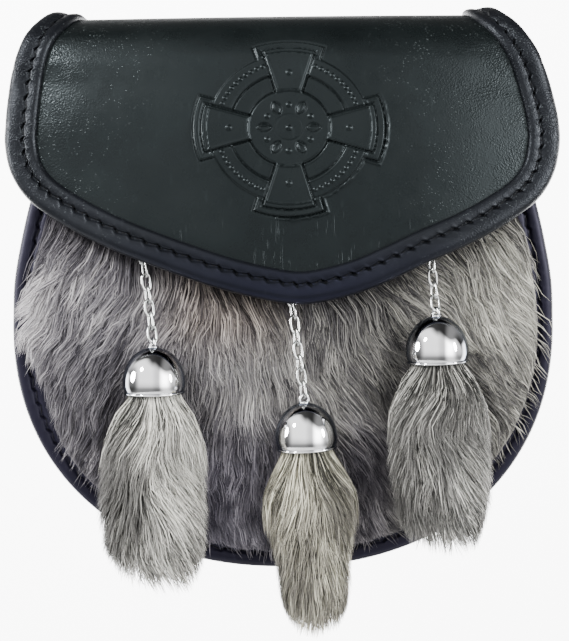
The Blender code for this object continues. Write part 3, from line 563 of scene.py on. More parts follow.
LOOKS = {
    "flap": leather(
        "flap_leather", (0.0030, 0.0040, 0.0042), (0.0054, 0.0070, 0.0072), 0.27, pebbled=(54.0, 86.0), creased=True
    ),
    "binding": leather(
        "binding_leather",
        (0.0033, 0.0037, 0.0047),
        (0.0062, 0.0067, 0.0085),
        0.32,
        pebbled=(50.0, 100.0),
        sheen=(0.83, 0.90, 1.0),
        # painted navy reflection low on the binding
        painted_low_sheen=(0.40, 0.40, 0.95),
    ),
    "body": leather("body_leather", (0.0045, 0.0040, 0.0085), (0.0085, 0.0078, 0.014), 0.42, sheen=(0.78, 0.76, 1.0)),
    "back": leather("back_leather", (0.010, 0.010, 0.0105), (0.019, 0.018, 0.018), 0.5, grain=0.3),
    "thread": waxed_thread(),
    # its edge colour is a painted dark bluish reflection
    "chrome": metal("polished_chrome", (0.90, 0.90, 0.91), 0.035, 0.07, 0.02, edge=(0.085, 0.105, 0.15)),
    "chain": metal("nickel_chain", (0.66, 0.67, 0.66), 0.14, 0.12),
    "dull": metal("worn_nickel", (0.46, 0.46, 0.46), 0.3, 0.2),
    "coat_skin": skin("coat_underfur", (0.012, 0.0115, 0.013), (0.05, 0.048, 0.054)),
    "tassel_skin": skin("tassel_underfur", (0.02, 0.019, 0.018), (0.12, 0.115, 0.105)),
    "coat": fur(
        "coat_hair",
        (0.012, 0.0115, 0.014),
        [
            (0.0, (0.020, 0.019, 0.023)),
            (0.3, (0.046, 0.044, 0.050)),
            (0.5, (0.110, 0.106, 0.112)),
            (0.7, (0.25, 0.245, 0.242)),
            (1.0, (0.56, 0.55, 0.53)),
        ],
        (0.42, 0.415, 0.41),
        left=(1.0, 0.97, 1.02),
        right=(1.04, 1.03, 0.93),
        patches=[
            # warmer and darker just below the flap
            (-20.0, -38.0, 22.0, 18.0, (0.97, 0.88, 0.80)),
            # these two are painted bluish shade between the drops
            (-14.0, -112.0, 20.0, 26.0, (1.03, 1.01, 1.18)),
            (30.0, -108.0, 10.0, 26.0, (0.97, 0.94, 1.08)),
        ],
    ),
    "left": tassel_fur("tassel_left_hair", 0.09),
    "middle": tassel_fur("tassel_middle_hair", 0.21),
    "right": tassel_fur("tassel_right_hair", 0.08),
}


# ---- sewn edges ----

PITCH = 5.5  # from stitch to stitch
BACK_PITCH = 4.2  # where the flap is sewn to the back
BACK_STITCHES_ALONG = 5.0
LOOP_PITCH = 3.2
SLIT_SHARE = 0.34  # of the pitch, which each slanting slit takes
SLIT_REACH = 0.62  # to each side of the seam
THREAD = 0.24  # half as thick as it is
OUTER_FROM = -1.0  # a section's points above this are on its outer face
SEAM_PHASES = np.array([-0.40, -0.28, -0.19, -0.13, -0.065, 0.0, 0.065, 0.13, 0.19, 0.28])
# the sections of sewn edges: how far inwards from the edge, and how far up
FLAP_BINDING = [(8.0, -2.05), (8.0, -2.75), (4.0, -2.95), (0.4, -2.9), (-0.9, -2.1), (-1.35, -0.7), (-1.1, 1.2)]
FLAP_BINDING += [(0.0, 2.4), (1.6, 2.9), (3.4, 2.7), (4.7, 2.15), (5.4, 1.7), (5.7, 1.45), (6.0, 1.7), (6.8, 2.1)]
FLAP_BINDING += [(8.2, 2.2), (9.3, 1.9), (9.9, 1.25), (10.0, 0.5), (10.05, -0.15)]
FLAP_SEAM = 5.7
BODY_BINDING = [(3.0, -2.2), (1.0, -2.15), (-0.3, -1.6), (-0.7, -0.5), (-0.5, 0.7), (0.5, 1.5), (1.9, 1.7)]
BODY_BINDING += [(3.3, 1.1), (4.4, 0.25), (5.5, 0.85), (7.2, 1.0), (9.2, 0.5), (11.0, 0.1), (14.0, 0.0)]
BODY_SEAM = 4.4
BACK_EDGE = [(9.0, -2.5), (1.6, -2.5), (0.3, -2.2), (0.0, -1.25), (0.3, -0.3), (1.3, 0.0), (3.2, 0.0), (4.2, -0.2)]
BACK_EDGE += [(5.2, 0.0), (7.0, 0.0), (9.0, 0.0)]
BACK_SEAM = 4.2


def dense_profile(section, seam, count):
    """A section's curve with most of its points near the seam."""
    fine = curve_through(section, 600)
    near = hump(fine[:, 0] - seam, 1.3) * (fine[:, 1] > OUTER_FROM)
    weight = np.concatenate([[0.0], np.cumsum(np.diff(lengths_along(fine)) * (1.0 + 3.5 * near[1:]))])
    at = np.linspace(0.0, weight[-1], count)
    return np.column_stack(sampled(at, weight, fine))


def seam_stations(path, closed=False):
    """Places along a path, closer together at each stitch's slit, and their counts of stitches."""
    if closed:
        path = np.vstack([path, path[:1]])
    along = lengths_along(path)
    count = int(round(along[-1] / PITCH))
    phase = (np.arange(count)[:, None] + SEAM_PHASES).ravel()
    if not closed:
        phase = np.concatenate([[-0.5], phase, [count - 0.5]])
    at = (phase + 0.5) / count * along[-1]
    return np.column_stack(sampled(at, along, path)), phase


def seam_offset(phase):
    """How far inside the seam's line its groove runs: quickly across it in a slit, slowly back between."""
    turn = phase - np.floor(phase + 0.5)
    half = 0.5 * SLIT_SHARE
    share = np.minimum(np.abs(turn) / half, (0.5 - np.abs(turn)) / (0.5 - half))
    return -SLIT_REACH * np.sign(turn) * share


def sewn_rows(path, phase, across, section, seam, place, detail, depth=1.0):
    """A section carried along a path on a pattern, with a groove that steps aside at each slit."""
    inwards, up = dense_profile(section, seam, detail).T
    along = lengths_along(path)[:, None]
    turn = np.abs(phase - np.floor(phase + 0.5))[:, None]
    slit = 1.0 - smooth_step(turn, 0.35 * SLIT_SHARE, 0.8 * SLIT_SHARE)
    aside = inwards - seam - seam_offset(phase)[:, None]
    groove = (0.38 + 0.62 * slit) * hump(aside, 0.22 + 0.14 * slit)
    lips = (0.06 + 0.16 * slit) * hump(np.abs(aside) - 0.85, 0.5)
    uneven = 0.09 * lattice_noise(along, inwards * 3.0, 9.0, 5)
    lift = up + (lips - depth * groove) * (up > OUTER_FROM) + uneven
    return place(path[:, :1] + across[:, :1] * inwards, path[:, 1:] + across[:, 1:] * inwards, lift)


def stitches(path, phase, across, seam, place, lift):
    """The thread from each slit to the next, sunk in the groove."""
    first, last = math.ceil(phase[0]), math.floor(phase[-1])
    share = np.linspace(0.08, 0.92, 7)
    at = np.arange(first, last)[:, None] + share
    (u, v), (a, b) = sampled(at, phase, path), sampled(at, phase, across)
    aside = seam + seam_offset(at)
    bow = lift + 0.30 * np.sin(math.pi * share) - 0.30
    rings = []
    for turn in turns(6):
        inwards = aside + THREAD * math.cos(turn)
        rings.append(place(u + a * inwards, v + b * inwards, bow + THREAD * math.sin(turn)))
    shape = Shape()
    for stitch in np.stack(rings, axis=2):
        shape.grid(stitch, closed=True)
    return shape


def flat_stitches(shape, start, end, pitch):
    """A straight row of stitches between two points, proud of a face that looks back."""
    start, end, out = np.array(start), np.array(end), np.array([0.0, 1.0, 0.0])
    length = np.linalg.norm(end - start)
    ahead = (end - start) / length
    side = np.cross(ahead, out)
    count = max(1, int(round(length / pitch)))
    share = np.linspace(0.0, 1.0, 7)
    bow = np.sin(math.pi * share)[:, None]
    around = np.cos(turns(6))[:, None] * side + np.sin(turns(6))[:, None] * out
    for k in range(count):
        centre = start + ahead * length * (k + 0.12 + 0.76 * share)[:, None] / count + out * (0.35 * bow - 0.2)
        shape.grid(centre[:, None] + 0.38 * (0.7 + 0.3 * bow[:, None]) * around, closed=True)


# ---- the flap ----

CROSS_X = 2.0
CROSS_ALONG = 101.0
CROSS_SCALE = (1.04, 0.96)  # across and along
ARM_END = 29.0
ARM_HALF = 4.0  # half an arm's width where it leaves the inner ring
ARM_START = 12.0
ARM_FLARE = 0.30
FRAME = 2.6  # how far the arms' frames stand out from them
RING_LINES = (13.5, 19.6, 26.3)
RELIEF = 0.8
SHOULDER_WIDTH = 0.45
STUDS = ((4, 19.7, 1.05), (6, 8.2, 0.95))  # how many, how far out, their radius
PEARLS = (10, 5.2, 23.5, 0.72)  # in a row between two arms: how many, degrees apart, how far out, their radius
LEAF_REACH = 8.1
WORN_AT = -0.7  # the middle of the lower right, where the rim is rubbed bright, in radians
FINE_SHARES = (-0.350, 0.408)  # of the flap's half width, between which its mesh is fine
FINE_ALONG = (CROSS_ALONG - 33.0, CROSS_ALONG + 32.0)


def soft_edge(distance):
    """1 inside a shape, 0 outside it, with a rounded shoulder."""
    return smooth_step(-distance, -0.5 * SHOULDER_WIDTH, 0.5 * SHOULDER_WIDTH)


def dot(u, v, reach, turn, radius):
    """A small dome, so far from the middle of the cross and so far round it."""
    away = np.hypot(u - reach * math.cos(turn), v - reach * math.sin(turn)) / radius
    return 0.5 * np.clip(1.0 - away**2, 0.0, 1.0) ** 0.6


def cross_height(x, along):
    """The embossed ring cross, in millimetres above the leather."""
    u, v = (x - CROSS_X) / CROSS_SCALE[0], (CROSS_ALONG - along) / CROSS_SCALE[1]
    r = np.hypot(u, v)
    inner, middle, outer = RING_LINES

    # distances outside the arms, their frames and the ring's band
    flip = np.abs(u) > np.abs(v)
    p, q = np.where(flip, np.abs(u), np.abs(v)), np.where(flip, v, u)
    beside = np.abs(q) - ARM_HALF - ARM_FLARE * (p - ARM_START)
    arm = np.maximum(np.maximum(beside, r - ARM_END), inner - 0.6 - r)
    rim = np.maximum(np.maximum(beside, r - ARM_END) - FRAME, outer - r)
    band = np.maximum(middle - r, r - outer)
    height = np.maximum(0.5 * soft_edge(rim), 0.6 * soft_edge(band))
    height = np.maximum(height, RELIEF * soft_edge(arm))
    height = np.maximum(height, 0.5 * soft_edge(r - inner))

    beyond, off_arm = r > outer + 0.5, arm > 0.3
    lines = [
        (-0.42, arm - 0.15, 0.40, r > inner - 0.2),
        (0.26, arm + 0.7, 0.36, r > inner),
        (-0.32, rim - 0.1, 0.36, beyond),
        (0.26, rim + 0.7, 0.36, beyond),
        (-0.14, r - 4.6, 0.3, True),
    ]
    for radius in (inner, middle):
        lines += [(-0.42, r - radius, 0.34, off_arm), (0.14, r - radius - 0.6, 0.28, off_arm)]
    for turn in turns(6):
        beyond_leaf = u * math.cos(turn) + v * math.sin(turn) - LEAF_REACH
        off_leaf = np.abs(v * math.cos(turn) - u * math.sin(turn))
        leaf = off_leaf + 0.24 * beyond_leaf**2 - 0.95
        lines.append((0.30, leaf, 0.34, np.abs(beyond_leaf) < 2.6))
        lines.append((-0.30, leaf - 0.6, 0.30, np.abs(beyond_leaf) < 2.9))
    for rise, distance, width, where in lines:
        height += rise * hump(distance, width) * where

    height += dot(u, v, 0.0, 0.0, 1.0)
    for (count, reach, radius), start in zip(STUDS, (0.0, math.radians(30.0))):
        for turn in turns(count) + start:
            height += dot(u, v, reach, turn, radius)
    count, apart, reach, radius = PEARLS
    for turn in turns(4) + 0.25 * math.pi:
        for at in turn + np.radians(apart) * (np.arange(count) - 0.5 * (count - 1)):
            height += dot(u, v, reach, at, radius) * off_arm

    worn = smooth_step(-np.abs(np.arctan2(v, u) - WORN_AT), -1.15, -0.8) * smooth_step(r, 24.5, 26.5)
    ragged = 0.7 + 0.5 * lattice_noise(x, along, 1.1, 11) + 0.3 * lattice_noise(x, along, 4.0, 12)
    return height + 0.46 * worn * ragged * hump(np.minimum(rim, r - outer) - 0.9, 0.42)


def spaced(ends, counts):
    """Places from each end to the next, so many in each span."""
    spans = [np.linspace(a, b, count)[:-1] for a, b, count in zip(ends, ends[1:], counts)]
    return np.concatenate([*spans, ends[-1:]])


def flap_leather():
    edge = flap_edge(800)
    edge = edge + FLAP_INSET * inward(edge)
    tip = int(np.argmax(edge[:, 1]))
    left, right = edge[:tip], edge[tip + 1 :][::-1]
    alongs = spaced((0.0, *FINE_ALONG, edge[tip, 1] - 0.15), (46, 215, 24))
    shares = spaced((-1.0, *FINE_SHARES, 1.0), (26, 238, 26))
    x0 = np.interp(alongs, left[:, 1], left[:, 0])[:, None]
    x1 = np.interp(alongs, right[:, 1], right[:, 0])[:, None]
    x = 0.5 * (x0 + x1) + 0.5 * (x1 - x0) * shares
    along = np.broadcast_to(alongs[:, None], x.shape)
    slack = 0.28 * lattice_noise(x, along, 38.0, 3) + 0.12 * lattice_noise(x, along, 17.0, 4)
    slack *= smooth_step(along, 60.0, 75.0) * smooth_step(-along, -150.0, -135.0)
    shape = Shape()
    face = flap_point(x, along, cross_height(x, along) + slack)
    shape.grid(face, flip=True)
    lower = flap_point(x, along, -FLAP_THICKNESS)
    shape.walls(face, lower)
    shape.grid(lower[::6, ::6])
    shape.grid(np.stack([lower[::6, -1], lower[::6, ::6][:, -1]]))
    shape.made("flap_leather", "flap", ["flap"], "embossed_leather")


def flap_binding():
    edge = flap_edge(1600)
    path, phase = seam_stations(edge[edge[:, 1] > BORDER_FROM])
    across = inward(path)
    rows = sewn_rows(path, phase, across, FLAP_BINDING, FLAP_SEAM, flap_point, 46)
    shape = Shape()
    shape.grid(rows)
    shape.fan(rows[0])
    shape.fan(rows[-1])
    shape.made("flap_binding", "binding", ["flap_border"])
    thread = stitches(path, phase, across, FLAP_SEAM, flap_point, 1.2)
    for x in np.arange(-64.0, 63.0, BACK_PITCH):
        ends = flap_point(np.array([x, x + BACK_PITCH]), BACK_STITCHES_ALONG)
        flat_stitches(thread, *ends, BACK_PITCH)
    thread.made("flap_stitches", "thread")


# ---- the body ----


def on_front(x, z, lift):
    return points(x, front_y(x, z) - lift, z)


def on_back(x, z, lift):
    return points(x, lift, z)


def closed_path():
    ring, phase = seam_stations(body_outline(1400), closed=True)
    return ring, phase, inward(ring, closed=True)


def drawn_in(ring, shares, place, lift=0.0):
    """Copies of a ring in X and Z, each smaller round the body's centre."""
    centre = np.array([0.0, BODY_CENTRE_Z])
    inner = np.stack([centre + share * (ring - centre) for share in shares])
    return place(inner[..., 0], inner[..., 1], lift)


def with_centre(rows, place, shares):
    """Carries a ring's inner row on towards the body's centre."""
    return np.concatenate([np.swapaxes(rows, 0, 1), drawn_in(rows[:, -1, ::2], shares, place)])


def front_leather():
    ring, phase, across = closed_path()
    rows = sewn_rows(ring, phase, across, BODY_BINDING, BODY_SEAM, on_front, 24, 0.7)
    shape = Shape()
    shape.grid(with_centre(rows, on_front, (0.94, 0.86, 0.76, 0.64, 0.5, 0.36, 0.2, 0.0005)), closed=True)
    back = drawn_in(body_outline(120, 1.0), (1.0, 0.92, 0.8, 0.6, 0.35, 0.0005), on_front, -FRONT_THICKNESS)
    shape.grid(back, closed=True, flip=True)
    made = shape.made("front_leather", "body", ["front_panel"])
    work = bmesh.new()
    work.from_mesh(made.data)
    cut = dict(plane_co=(0.0, 0.0, MOUTH_Z * MM), plane_no=(0.0, 0.0, 1.0), clear_outer=True)
    bmesh.ops.bisect_plane(work, geom=[*work.verts, *work.edges, *work.faces], dist=1e-6, **cut)
    work.to_mesh(made.data)
    work.free()
    low = np.flatnonzero(ring[:, 1] < MOUTH_Z - 2.0)
    kept = slice(low[0], low[-1])
    stitches(ring[kept], phase[kept], across[kept], BODY_SEAM, on_front, 0.1).made("front_stitches", "thread")
    mouth_edge()


def mouth_edge():
    """The rounded edge of the front panel at the mouth."""
    x = np.linspace(-72.0, 72.0, 60)
    turn = np.linspace(0.0, math.pi, 9)[:, None]
    y = front_y(x, MOUTH_Z) + 0.5 * FRONT_THICKNESS * (1.0 - np.cos(turn))
    shape = Shape()
    shape.grid(points(x, y, MOUTH_Z - 0.1 + 0.9 * np.sin(turn)))
    shape.made("mouth_edge", "body")


def back_leather():
    ring, phase, across = closed_path()
    rows = sewn_rows(ring, phase, across, BACK_EDGE, BACK_SEAM, on_back, 16, 0.5)
    shape = Shape()
    shape.grid(with_centre(rows, on_back, (0.9, 0.75, 0.55, 0.35, 0.15, 0.0005)), closed=True, flip=True)
    shape.grid(drawn_in(rows[:, 0, ::2], (1.0, 0.5, 0.0005), on_back, -BACK_THICKNESS), closed=True)
    shape.made("back_leather", "back", ["back_panel"])
    stitches(ring, phase, across, BACK_SEAM, on_back, -0.1).made("back_stitches", "thread")


def gusset_leather():
    """The wall: two flanges and a depth between them that gives way a little in soft folds."""
    outer = body_outline(2000, GUSSET_INSET)
    first = int(np.argmax(outer[:, 1] < GUSSET_TOP_Z))
    path = resampled(outer[first : len(outer) - first], 260)
    across = inward(path)
    back = -(BACK_THICKNESS + GAP)
    front, middle = back - GUSSET_DEPTH, back - 0.5 * GUSSET_DEPTH
    half = [(GUSSET_FLANGE, 0.0), (1.8, 0.0), (0.5, 0.5), (0.0, 1.8), (0.0, 6.0)]
    outside = [*[(i, back - d) for i, d in half], (0.0, middle), *[(i, front + d) for i, d in half[::-1]]]
    inwards, y = curve_through(outside, 26).T
    along = lengths_along(path)[:, None]
    sag = np.clip(1.0 - ((y - middle) / (0.5 * GUSSET_DEPTH)) ** 2, 0.0, 1.0)
    folds = 0.9 + 0.5 * lattice_noise(along, y * 0.6, 15.0, 21) + 0.3 * lattice_noise(along, y, 6.0, 22)
    faces = []
    for depth in (0.0, GUSSET_THICKNESS):
        off_middle = np.sign(y - middle) * np.minimum(np.abs(y - middle), 0.5 * GUSSET_DEPTH - depth)
        reach = np.maximum(inwards, depth) + sag * folds
        spots = path[:, None] + across[:, None] * reach[..., None]
        faces.append(points(spots[..., 0], middle + off_middle, spots[..., 1]))
    shape = Shape()
    shape.grid(faces[0], flip=True)
    shape.grid(faces[1])
    shape.walls(*faces)
    shape.made("gusset_leather", "body", ["gusset"])


def belt_loop(side, x):
    """A strip that is sewn down at its two feet and stands off between them."""
    foot, high = GAP + LOOP_THICKNESS, LOOP_CLEARANCE + LOOP_THICKNESS
    bend = LOOP_STRAP_HALF + LOOP_BEND
    end = bend + LOOP_FOOT
    half_path = [(foot, end), (foot, end - 4.0), (foot, bend + 0.6), (foot + 1.2, bend - 1.4)]
    half_path += [(high - 0.9, LOOP_STRAP_HALF + 1.4), (high, LOOP_STRAP_HALF - 1.0), (high, LOOP_STRAP_HALF - 6.0)]
    path = curve_through([*half_path, *[(y, -z) for y, z in half_path[::-1]]], 90)
    out = -inward(path)
    half, low, r = 0.5 * LOOP_WIDTH, LOOP_ROUNDING - LOOP_THICKNESS, LOOP_ROUNDING
    ring = []
    for start, cx, cy in ((0, half - r, -r), (90, r - half, -r), (180, r - half, low), (270, half - r, low)):
        turn = np.radians(start + np.linspace(0.0, 90.0, 5))
        ring.append(np.column_stack([cx + r * np.cos(turn), cy + r * np.sin(turn)]))
    wide, up = np.vstack(ring).T
    lift = up - 0.25 * hump(np.abs(wide) - half + 2.6, 0.7) * (up > -0.1)
    rows = points(x + wide, path[:, :1] + out[:, :1] * lift, path[:, 1:] + out[:, 1:] * lift)
    shape = Shape()
    shape.grid(rows, closed=True)
    shape.fan(rows[0])
    shape.fan(rows[-1])
    shape.made(f"belt_loop_{side}_leather", "back", [f"belt_loop_{side}"])
    thread = Shape()
    left, right = x - half + 2.2, x + half - 2.2
    for sign in (-1.0, 1.0):
        inner, outer = sign * (bend + 1.6), sign * (end - 1.6)
        corners = [(left, foot, inner), (right, foot, inner), (right, foot, outer), (left, foot, outer)]
        for a, b in zip(corners, corners[1:] + corners[:1]):
            flat_stitches(thread, a, b, LOOP_PITCH)
    thread.made(f"belt_loop_{side}_stitches", "thread")


# ---- the drops ----


def cap_turn(drop):
    return Matrix.Rotation(math.radians(-drop.lean_deg), 4, "Y")


def cap_top(drop):
    z = drop.cap_top_z
    surface = pressed_fur_y(drop.cap_x, z - 0.5 * CAP_HEIGHT)
    return np.array([drop.cap_x, float(surface) - FUR_CLEARANCE - CAP_RADIUS, z])


def turned(spots, turn, move):
    """Points of any grid shape, turned by a matrix and moved."""
    return spots @ np.array(turn.to_3x3()).T + np.asarray(move)


def link_roll(k):
    return Matrix.Rotation(math.radians(LINK_ROLLS_DEG[k % 2]), 4, "Z")


def chain_line(drop):
    eye = np.array(cap_turn(drop) @ Vector((0.0, 0.0, EYE_RISE + EYE_RADIUS)))
    low = cap_top(drop) + eye
    reach = drop.links * (LINK_LENGTH - 2 * WIRE - GAP) - 0.5 * STAPLE_WIRE - 0.5 * EYE_WIRE
    drop_x, drop_y = low[0] - drop.staple_x, low[1] - STAPLE_Y
    fall = math.sqrt(reach**2 - drop_x**2 - 1.08 * drop_y**2)
    t = np.linspace(0.0, 1.0, 200)
    return points(drop.staple_x + drop_x * t, STAPLE_Y + drop_y * t**CHAIN_SAG_POWER, low[2] + fall * (1.0 - t))


def ring_points(radius, wire, steps, sides, stretch=0.0):
    """A ring in the XZ plane, its two halves drawn apart along Z."""
    around, section = turns(steps)[:, None], turns(sides)
    reach = radius + wire * np.cos(section)
    z = np.sin(around) * reach + stretch * np.tanh(3.0 * np.sin(around))
    return points(np.cos(around) * reach, wire * np.sin(section), z)


def chain(drop):
    path = chain_line(drop)
    along = lengths_along(path)
    inset = 0.5 * (LINK_LENGTH - GAP) - WIRE
    places = np.linspace(inset - 0.5 * STAPLE_WIRE, along[-1] - inset + 0.5 * EYE_WIRE, drop.links)
    link = ring_points(0.5 * (LINK_WIDTH - WIRE), 0.5 * WIRE, 40, 12, 0.5 * (LINK_LENGTH - LINK_WIDTH))
    shape = Shape()
    for k, at in enumerate(places):
        above, centre, below = (Vector(sampled(at + off, along, path)) for off in (-2.3, 0.0, 2.3))
        up = (above - below).normalized()
        right = Vector((1.0, 0.0, 0.0))
        right = (right - up * right.dot(up)).normalized()
        turn = Matrix((right, up.cross(right), up)).transposed().to_4x4()
        shape.ring(turned(link, turn @ link_roll(k), centre))
    nodes = [f"link_{drop.side}_{k + 1:02d}" for k in range(drop.links)]
    shape.made(f"chain_{drop.side}", "chain", nodes, "bright_metal")


def cap(drop):
    """A spun dome with a rolled lip, and a wire eye on top."""
    a = np.radians(np.linspace(0.0, 90.0, 30))
    outer = [(CAP_RADIUS * math.sin(t), -CAP_DOME * (1.0 - math.cos(t))) for t in a]
    low = CAP_HEIGHT - 0.9 - CAP_DOME
    outer += [(CAP_RADIUS - CAP_TAPER * (d / low) ** 2, -CAP_DOME - d) for d in np.linspace(0.0, low, 7)[1:]]
    rim = CAP_RADIUS - CAP_TAPER
    lip = np.radians(np.linspace(70.0, -200.0, 10))
    outer += [(rim - 0.2 + 0.5 * math.cos(t), -CAP_HEIGHT + 0.45 + 0.45 * math.sin(t)) for t in lip]
    inside, deep = rim - CAP_WALL, CAP_DOME - CAP_WALL
    outer += [(inside * math.sin(t), -CAP_WALL - deep * (1.0 - math.cos(t))) for t in a[::-3]]
    reach, z = np.array(outer).T[..., None]
    turn, top = cap_turn(drop), cap_top(drop)
    dome = points(reach * np.cos(turns(72)), reach * np.sin(turns(72)), z)
    eye = ring_points(EYE_RADIUS, 0.5 * EYE_WIRE, 32, 12) + [0.0, 0.0, EYE_RISE]
    shape = Shape()
    shape.grid(turned(dome, turn, top), closed=True, flip=True)
    shape.ring(turned(eye, turn @ link_roll(drop.links), top))
    shape.ring(turned(ring_points(1.5, 0.42, 32, 8)[..., [0, 2, 1]], turn, top))
    shape.made(f"cap_{drop.side}_dome", "chrome", [f"cap_{drop.side}"], "bright_metal")


# ---- fur ----


def ribbons(name, paths, outward, width, tone, look, seed, root=0.0):
    """Hairs as tapered ribbons.

    paths: hairs, points, 3; outward: the way their flat side looks; root: the share of a hair that its
    ribbon leaves out at its root.
    """
    rng = np.random.default_rng(seed)
    hairs, steps = paths.shape[:2]
    ahead = np.gradient(paths, axis=1)
    side = unit(np.cross(ahead, outward))
    up = unit(np.cross(side, ahead))
    twist = rng.normal(0.0, 0.5, hairs)[:, None, None]
    side = side * np.cos(twist) + up * np.sin(twist)
    share = np.linspace(0.0, 1.0, steps)
    taper = np.interp(share, [0.0, 0.15, 0.70, 1.0], [0.6, 1.0, 0.95, 0.35])
    half = 0.5 * width[:, None, None] * taper[:, None]
    spots = np.stack([paths - side * half, paths + side * half], axis=2)[:, :-1].reshape(hairs, -1, 3)
    spots = np.concatenate([spots, paths[:, -1:]], axis=1)
    each = spots.shape[1]
    start = each * np.arange(hairs)[:, None, None]
    quads = 2 * np.arange(steps - 2)[:, None] + [0, 1, 3, 2]
    tips = np.array([[each - 3, each - 2, each - 1]])
    faces = [(start + one).reshape(-1, one.shape[1]) for one in (quads, tips)]
    mesh = piece(name, spots.reshape(-1, 3), faces, look).data

    level = np.concatenate([np.repeat(share[:-1], 2), [1.0]])
    root = np.broadcast_to(root, (hairs,))[:, None]
    u = np.repeat(np.clip(tone, 0.01, 0.99), each)
    v = (0.01 + 0.98 * (root + (1.0 - root) * level)).ravel()
    corners = np.empty(len(mesh.loops), int)
    mesh.loops.foreach_get("vertex_index", corners)
    uv = mesh.uv_layers.new(name=FUR_MAP)
    uv.data.foreach_set("uv", np.column_stack([u[corners], v[corners]]).astype(np.float32).ravel())


def nearest(spots, guides):
    """The number of the guide that is nearest to each spot."""
    tree = KDTree(len(guides))
    for k, guide in enumerate(guides.tolist()):
        tree.insert((*guide, 0.0)[:3], k)
    tree.balance()
    return np.array([tree.find((*spot, 0.0)[:3])[1] for spot in spots.tolist()])


def fur_place(across, down):
    """A place on the coat in X and Z: across from -1 to 1, down from 0 at its top to 1 at its edge."""
    top_x = across * FUR_SIDE_X
    top_z = np.minimum(flap_edge_height(top_x) + FUR_TUCK, FUR_SIDE_Z)
    angle = np.radians(-90.0 + across * FUR_FAN_DEG)
    radius = FUR_EDGE * rim_radius(angle)
    end_x, end_z = radius * np.cos(angle), BODY_CENTRE_Z + radius * np.sin(angle)
    return np.stack([top_x + (end_x - top_x) * down, top_z + (end_z - top_z) * down], axis=-1)


def fur_run(across):
    """From a hair's line on the coat: its whole length and its direction."""
    run = fur_place(across, 1.0) - fur_place(across, 0.0)
    return np.linalg.norm(run, axis=-1), unit(run)


def coat_spots(count, rng):
    """Places spread evenly over the coat."""
    across, down = rng.uniform(-1.0, 1.0, 4 * count), rng.uniform(0.0, 0.97, 4 * count)
    step = 0.004
    aside = fur_place(across + step, down) - fur_place(across - step, down)
    below = fur_place(across, down + step) - fur_place(across, down - step)
    area = np.abs(aside[:, 0] * below[:, 1] - aside[:, 1] * below[:, 0])
    keep = rng.uniform(0.0, np.quantile(area, 0.98), 4 * count) < area
    return across[keep][:count], down[keep][:count]


def tassel_half_width(drop, below_mouth):
    free = drop.length - CAP_HEIGHT
    mouth = CAP_RADIUS - CAP_WALL - 0.5
    return np.interp(below_mouth / free, [0.0, *TASSEL_SHARES, 1.0], [mouth, *drop.halves, drop.tip])


def from_axis(drop, x, z):
    """How far below a drop's top places on the coat are, and how far beside its axis."""
    below = drop.cap_top_z - z
    return below, np.abs(x - drop.cap_x - below * math.tan(math.radians(drop.lean_deg)))


def fur_depth(x, z):
    pressed = smooth_step(z - flap_edge_height(x), -8.0, 2.0)
    for drop in DROPS:
        below, beside = from_axis(drop, x, z)
        wide = np.maximum(CAP_RADIUS, tassel_half_width(drop, below - CAP_HEIGHT))
        half = np.where(below > -4.0, wide, CHAIN_FURROW)
        here = 1.0 - smooth_step(beside, half + 1.0, half + 6.0)
        pressed = np.where(below < drop.length + 4.0, np.maximum(pressed, here), pressed)
    full = FUR_DEPTH - 2.5 * smooth_step(rim_share(x, z), 0.75, 0.95)
    return full + (FUR_PRESSED - full) * pressed


def overhang(spot):
    """How far the hairs of a place on the coat hang over the binding at the upper left."""
    at_left = smooth_step(-spot[:, 0], 64.0, 78.0)
    return at_left * smooth_step(spot[:, 1], -48.0, -39.0) * smooth_step(-spot[:, 1], 15.0, 25.0)


COAT_SWEEP = ((-80.0, -55.0, -22.0, 35.0, 60.0, 85.0), (-0.10, -0.30, 0.26, 0.42, 0.36, 0.34))  # X, turn
# the coat's tone across it: darker to the left and lighter to the right, with a dip near 32 mm that is painted shade
# between the middle and right drops
COAT_TONE_X = (-80.0, -60.0, -40.0, -12.0, 12.0, 32.0, 56.0, 76.0)
COAT_TONE = (-0.15, -0.16, -0.11, 0.0, 0.0, -0.10, 0.12, 0.15)
COAT_GUIDES = 1250  # one for each lock
COAT_WAVE = 17.0  # from crest to crest along a hair
STRAYS = 0.055  # the share of the hairs near the edge that lie over the binding
HAIR_STEPS = 5  # points along a hair


def flow(across, down, length, rng, waviness):
    """Paths in X and Z that follow the coat's lie, bent and waved as their neighbours are."""
    spot = fur_place(across, down)
    lie = fur_run(across)[1]
    turn = np.arctan2(lie[:, 1], lie[:, 0]) + np.interp(spot[:, 0], *COAT_SWEEP) - 0.28 * overhang(spot)
    turn += 0.36 * lattice_noise(*spot.T, 34.0, 41) + 0.24 * lattice_noise(*spot.T, 11.0, 42)
    turn += rng.normal(0.0, 0.06, len(spot))
    phase = 3.2 * lattice_noise(*spot.T, 13.0, 43)
    step = length[:, None] / (HAIR_STEPS - 1)
    path = [spot]
    for t in np.arange(HAIR_STEPS - 1) / (HAIR_STEPS - 1):
        wave = waviness * np.sin(2 * math.pi * length * t / COAT_WAVE + phase)
        way = turn + wave + 0.35 * lattice_noise(*path[-1].T, 22.0, 44) * t
        path.append(path[-1] + step * np.column_stack([np.cos(way), np.sin(way)]))
    return np.stack(path, axis=1)


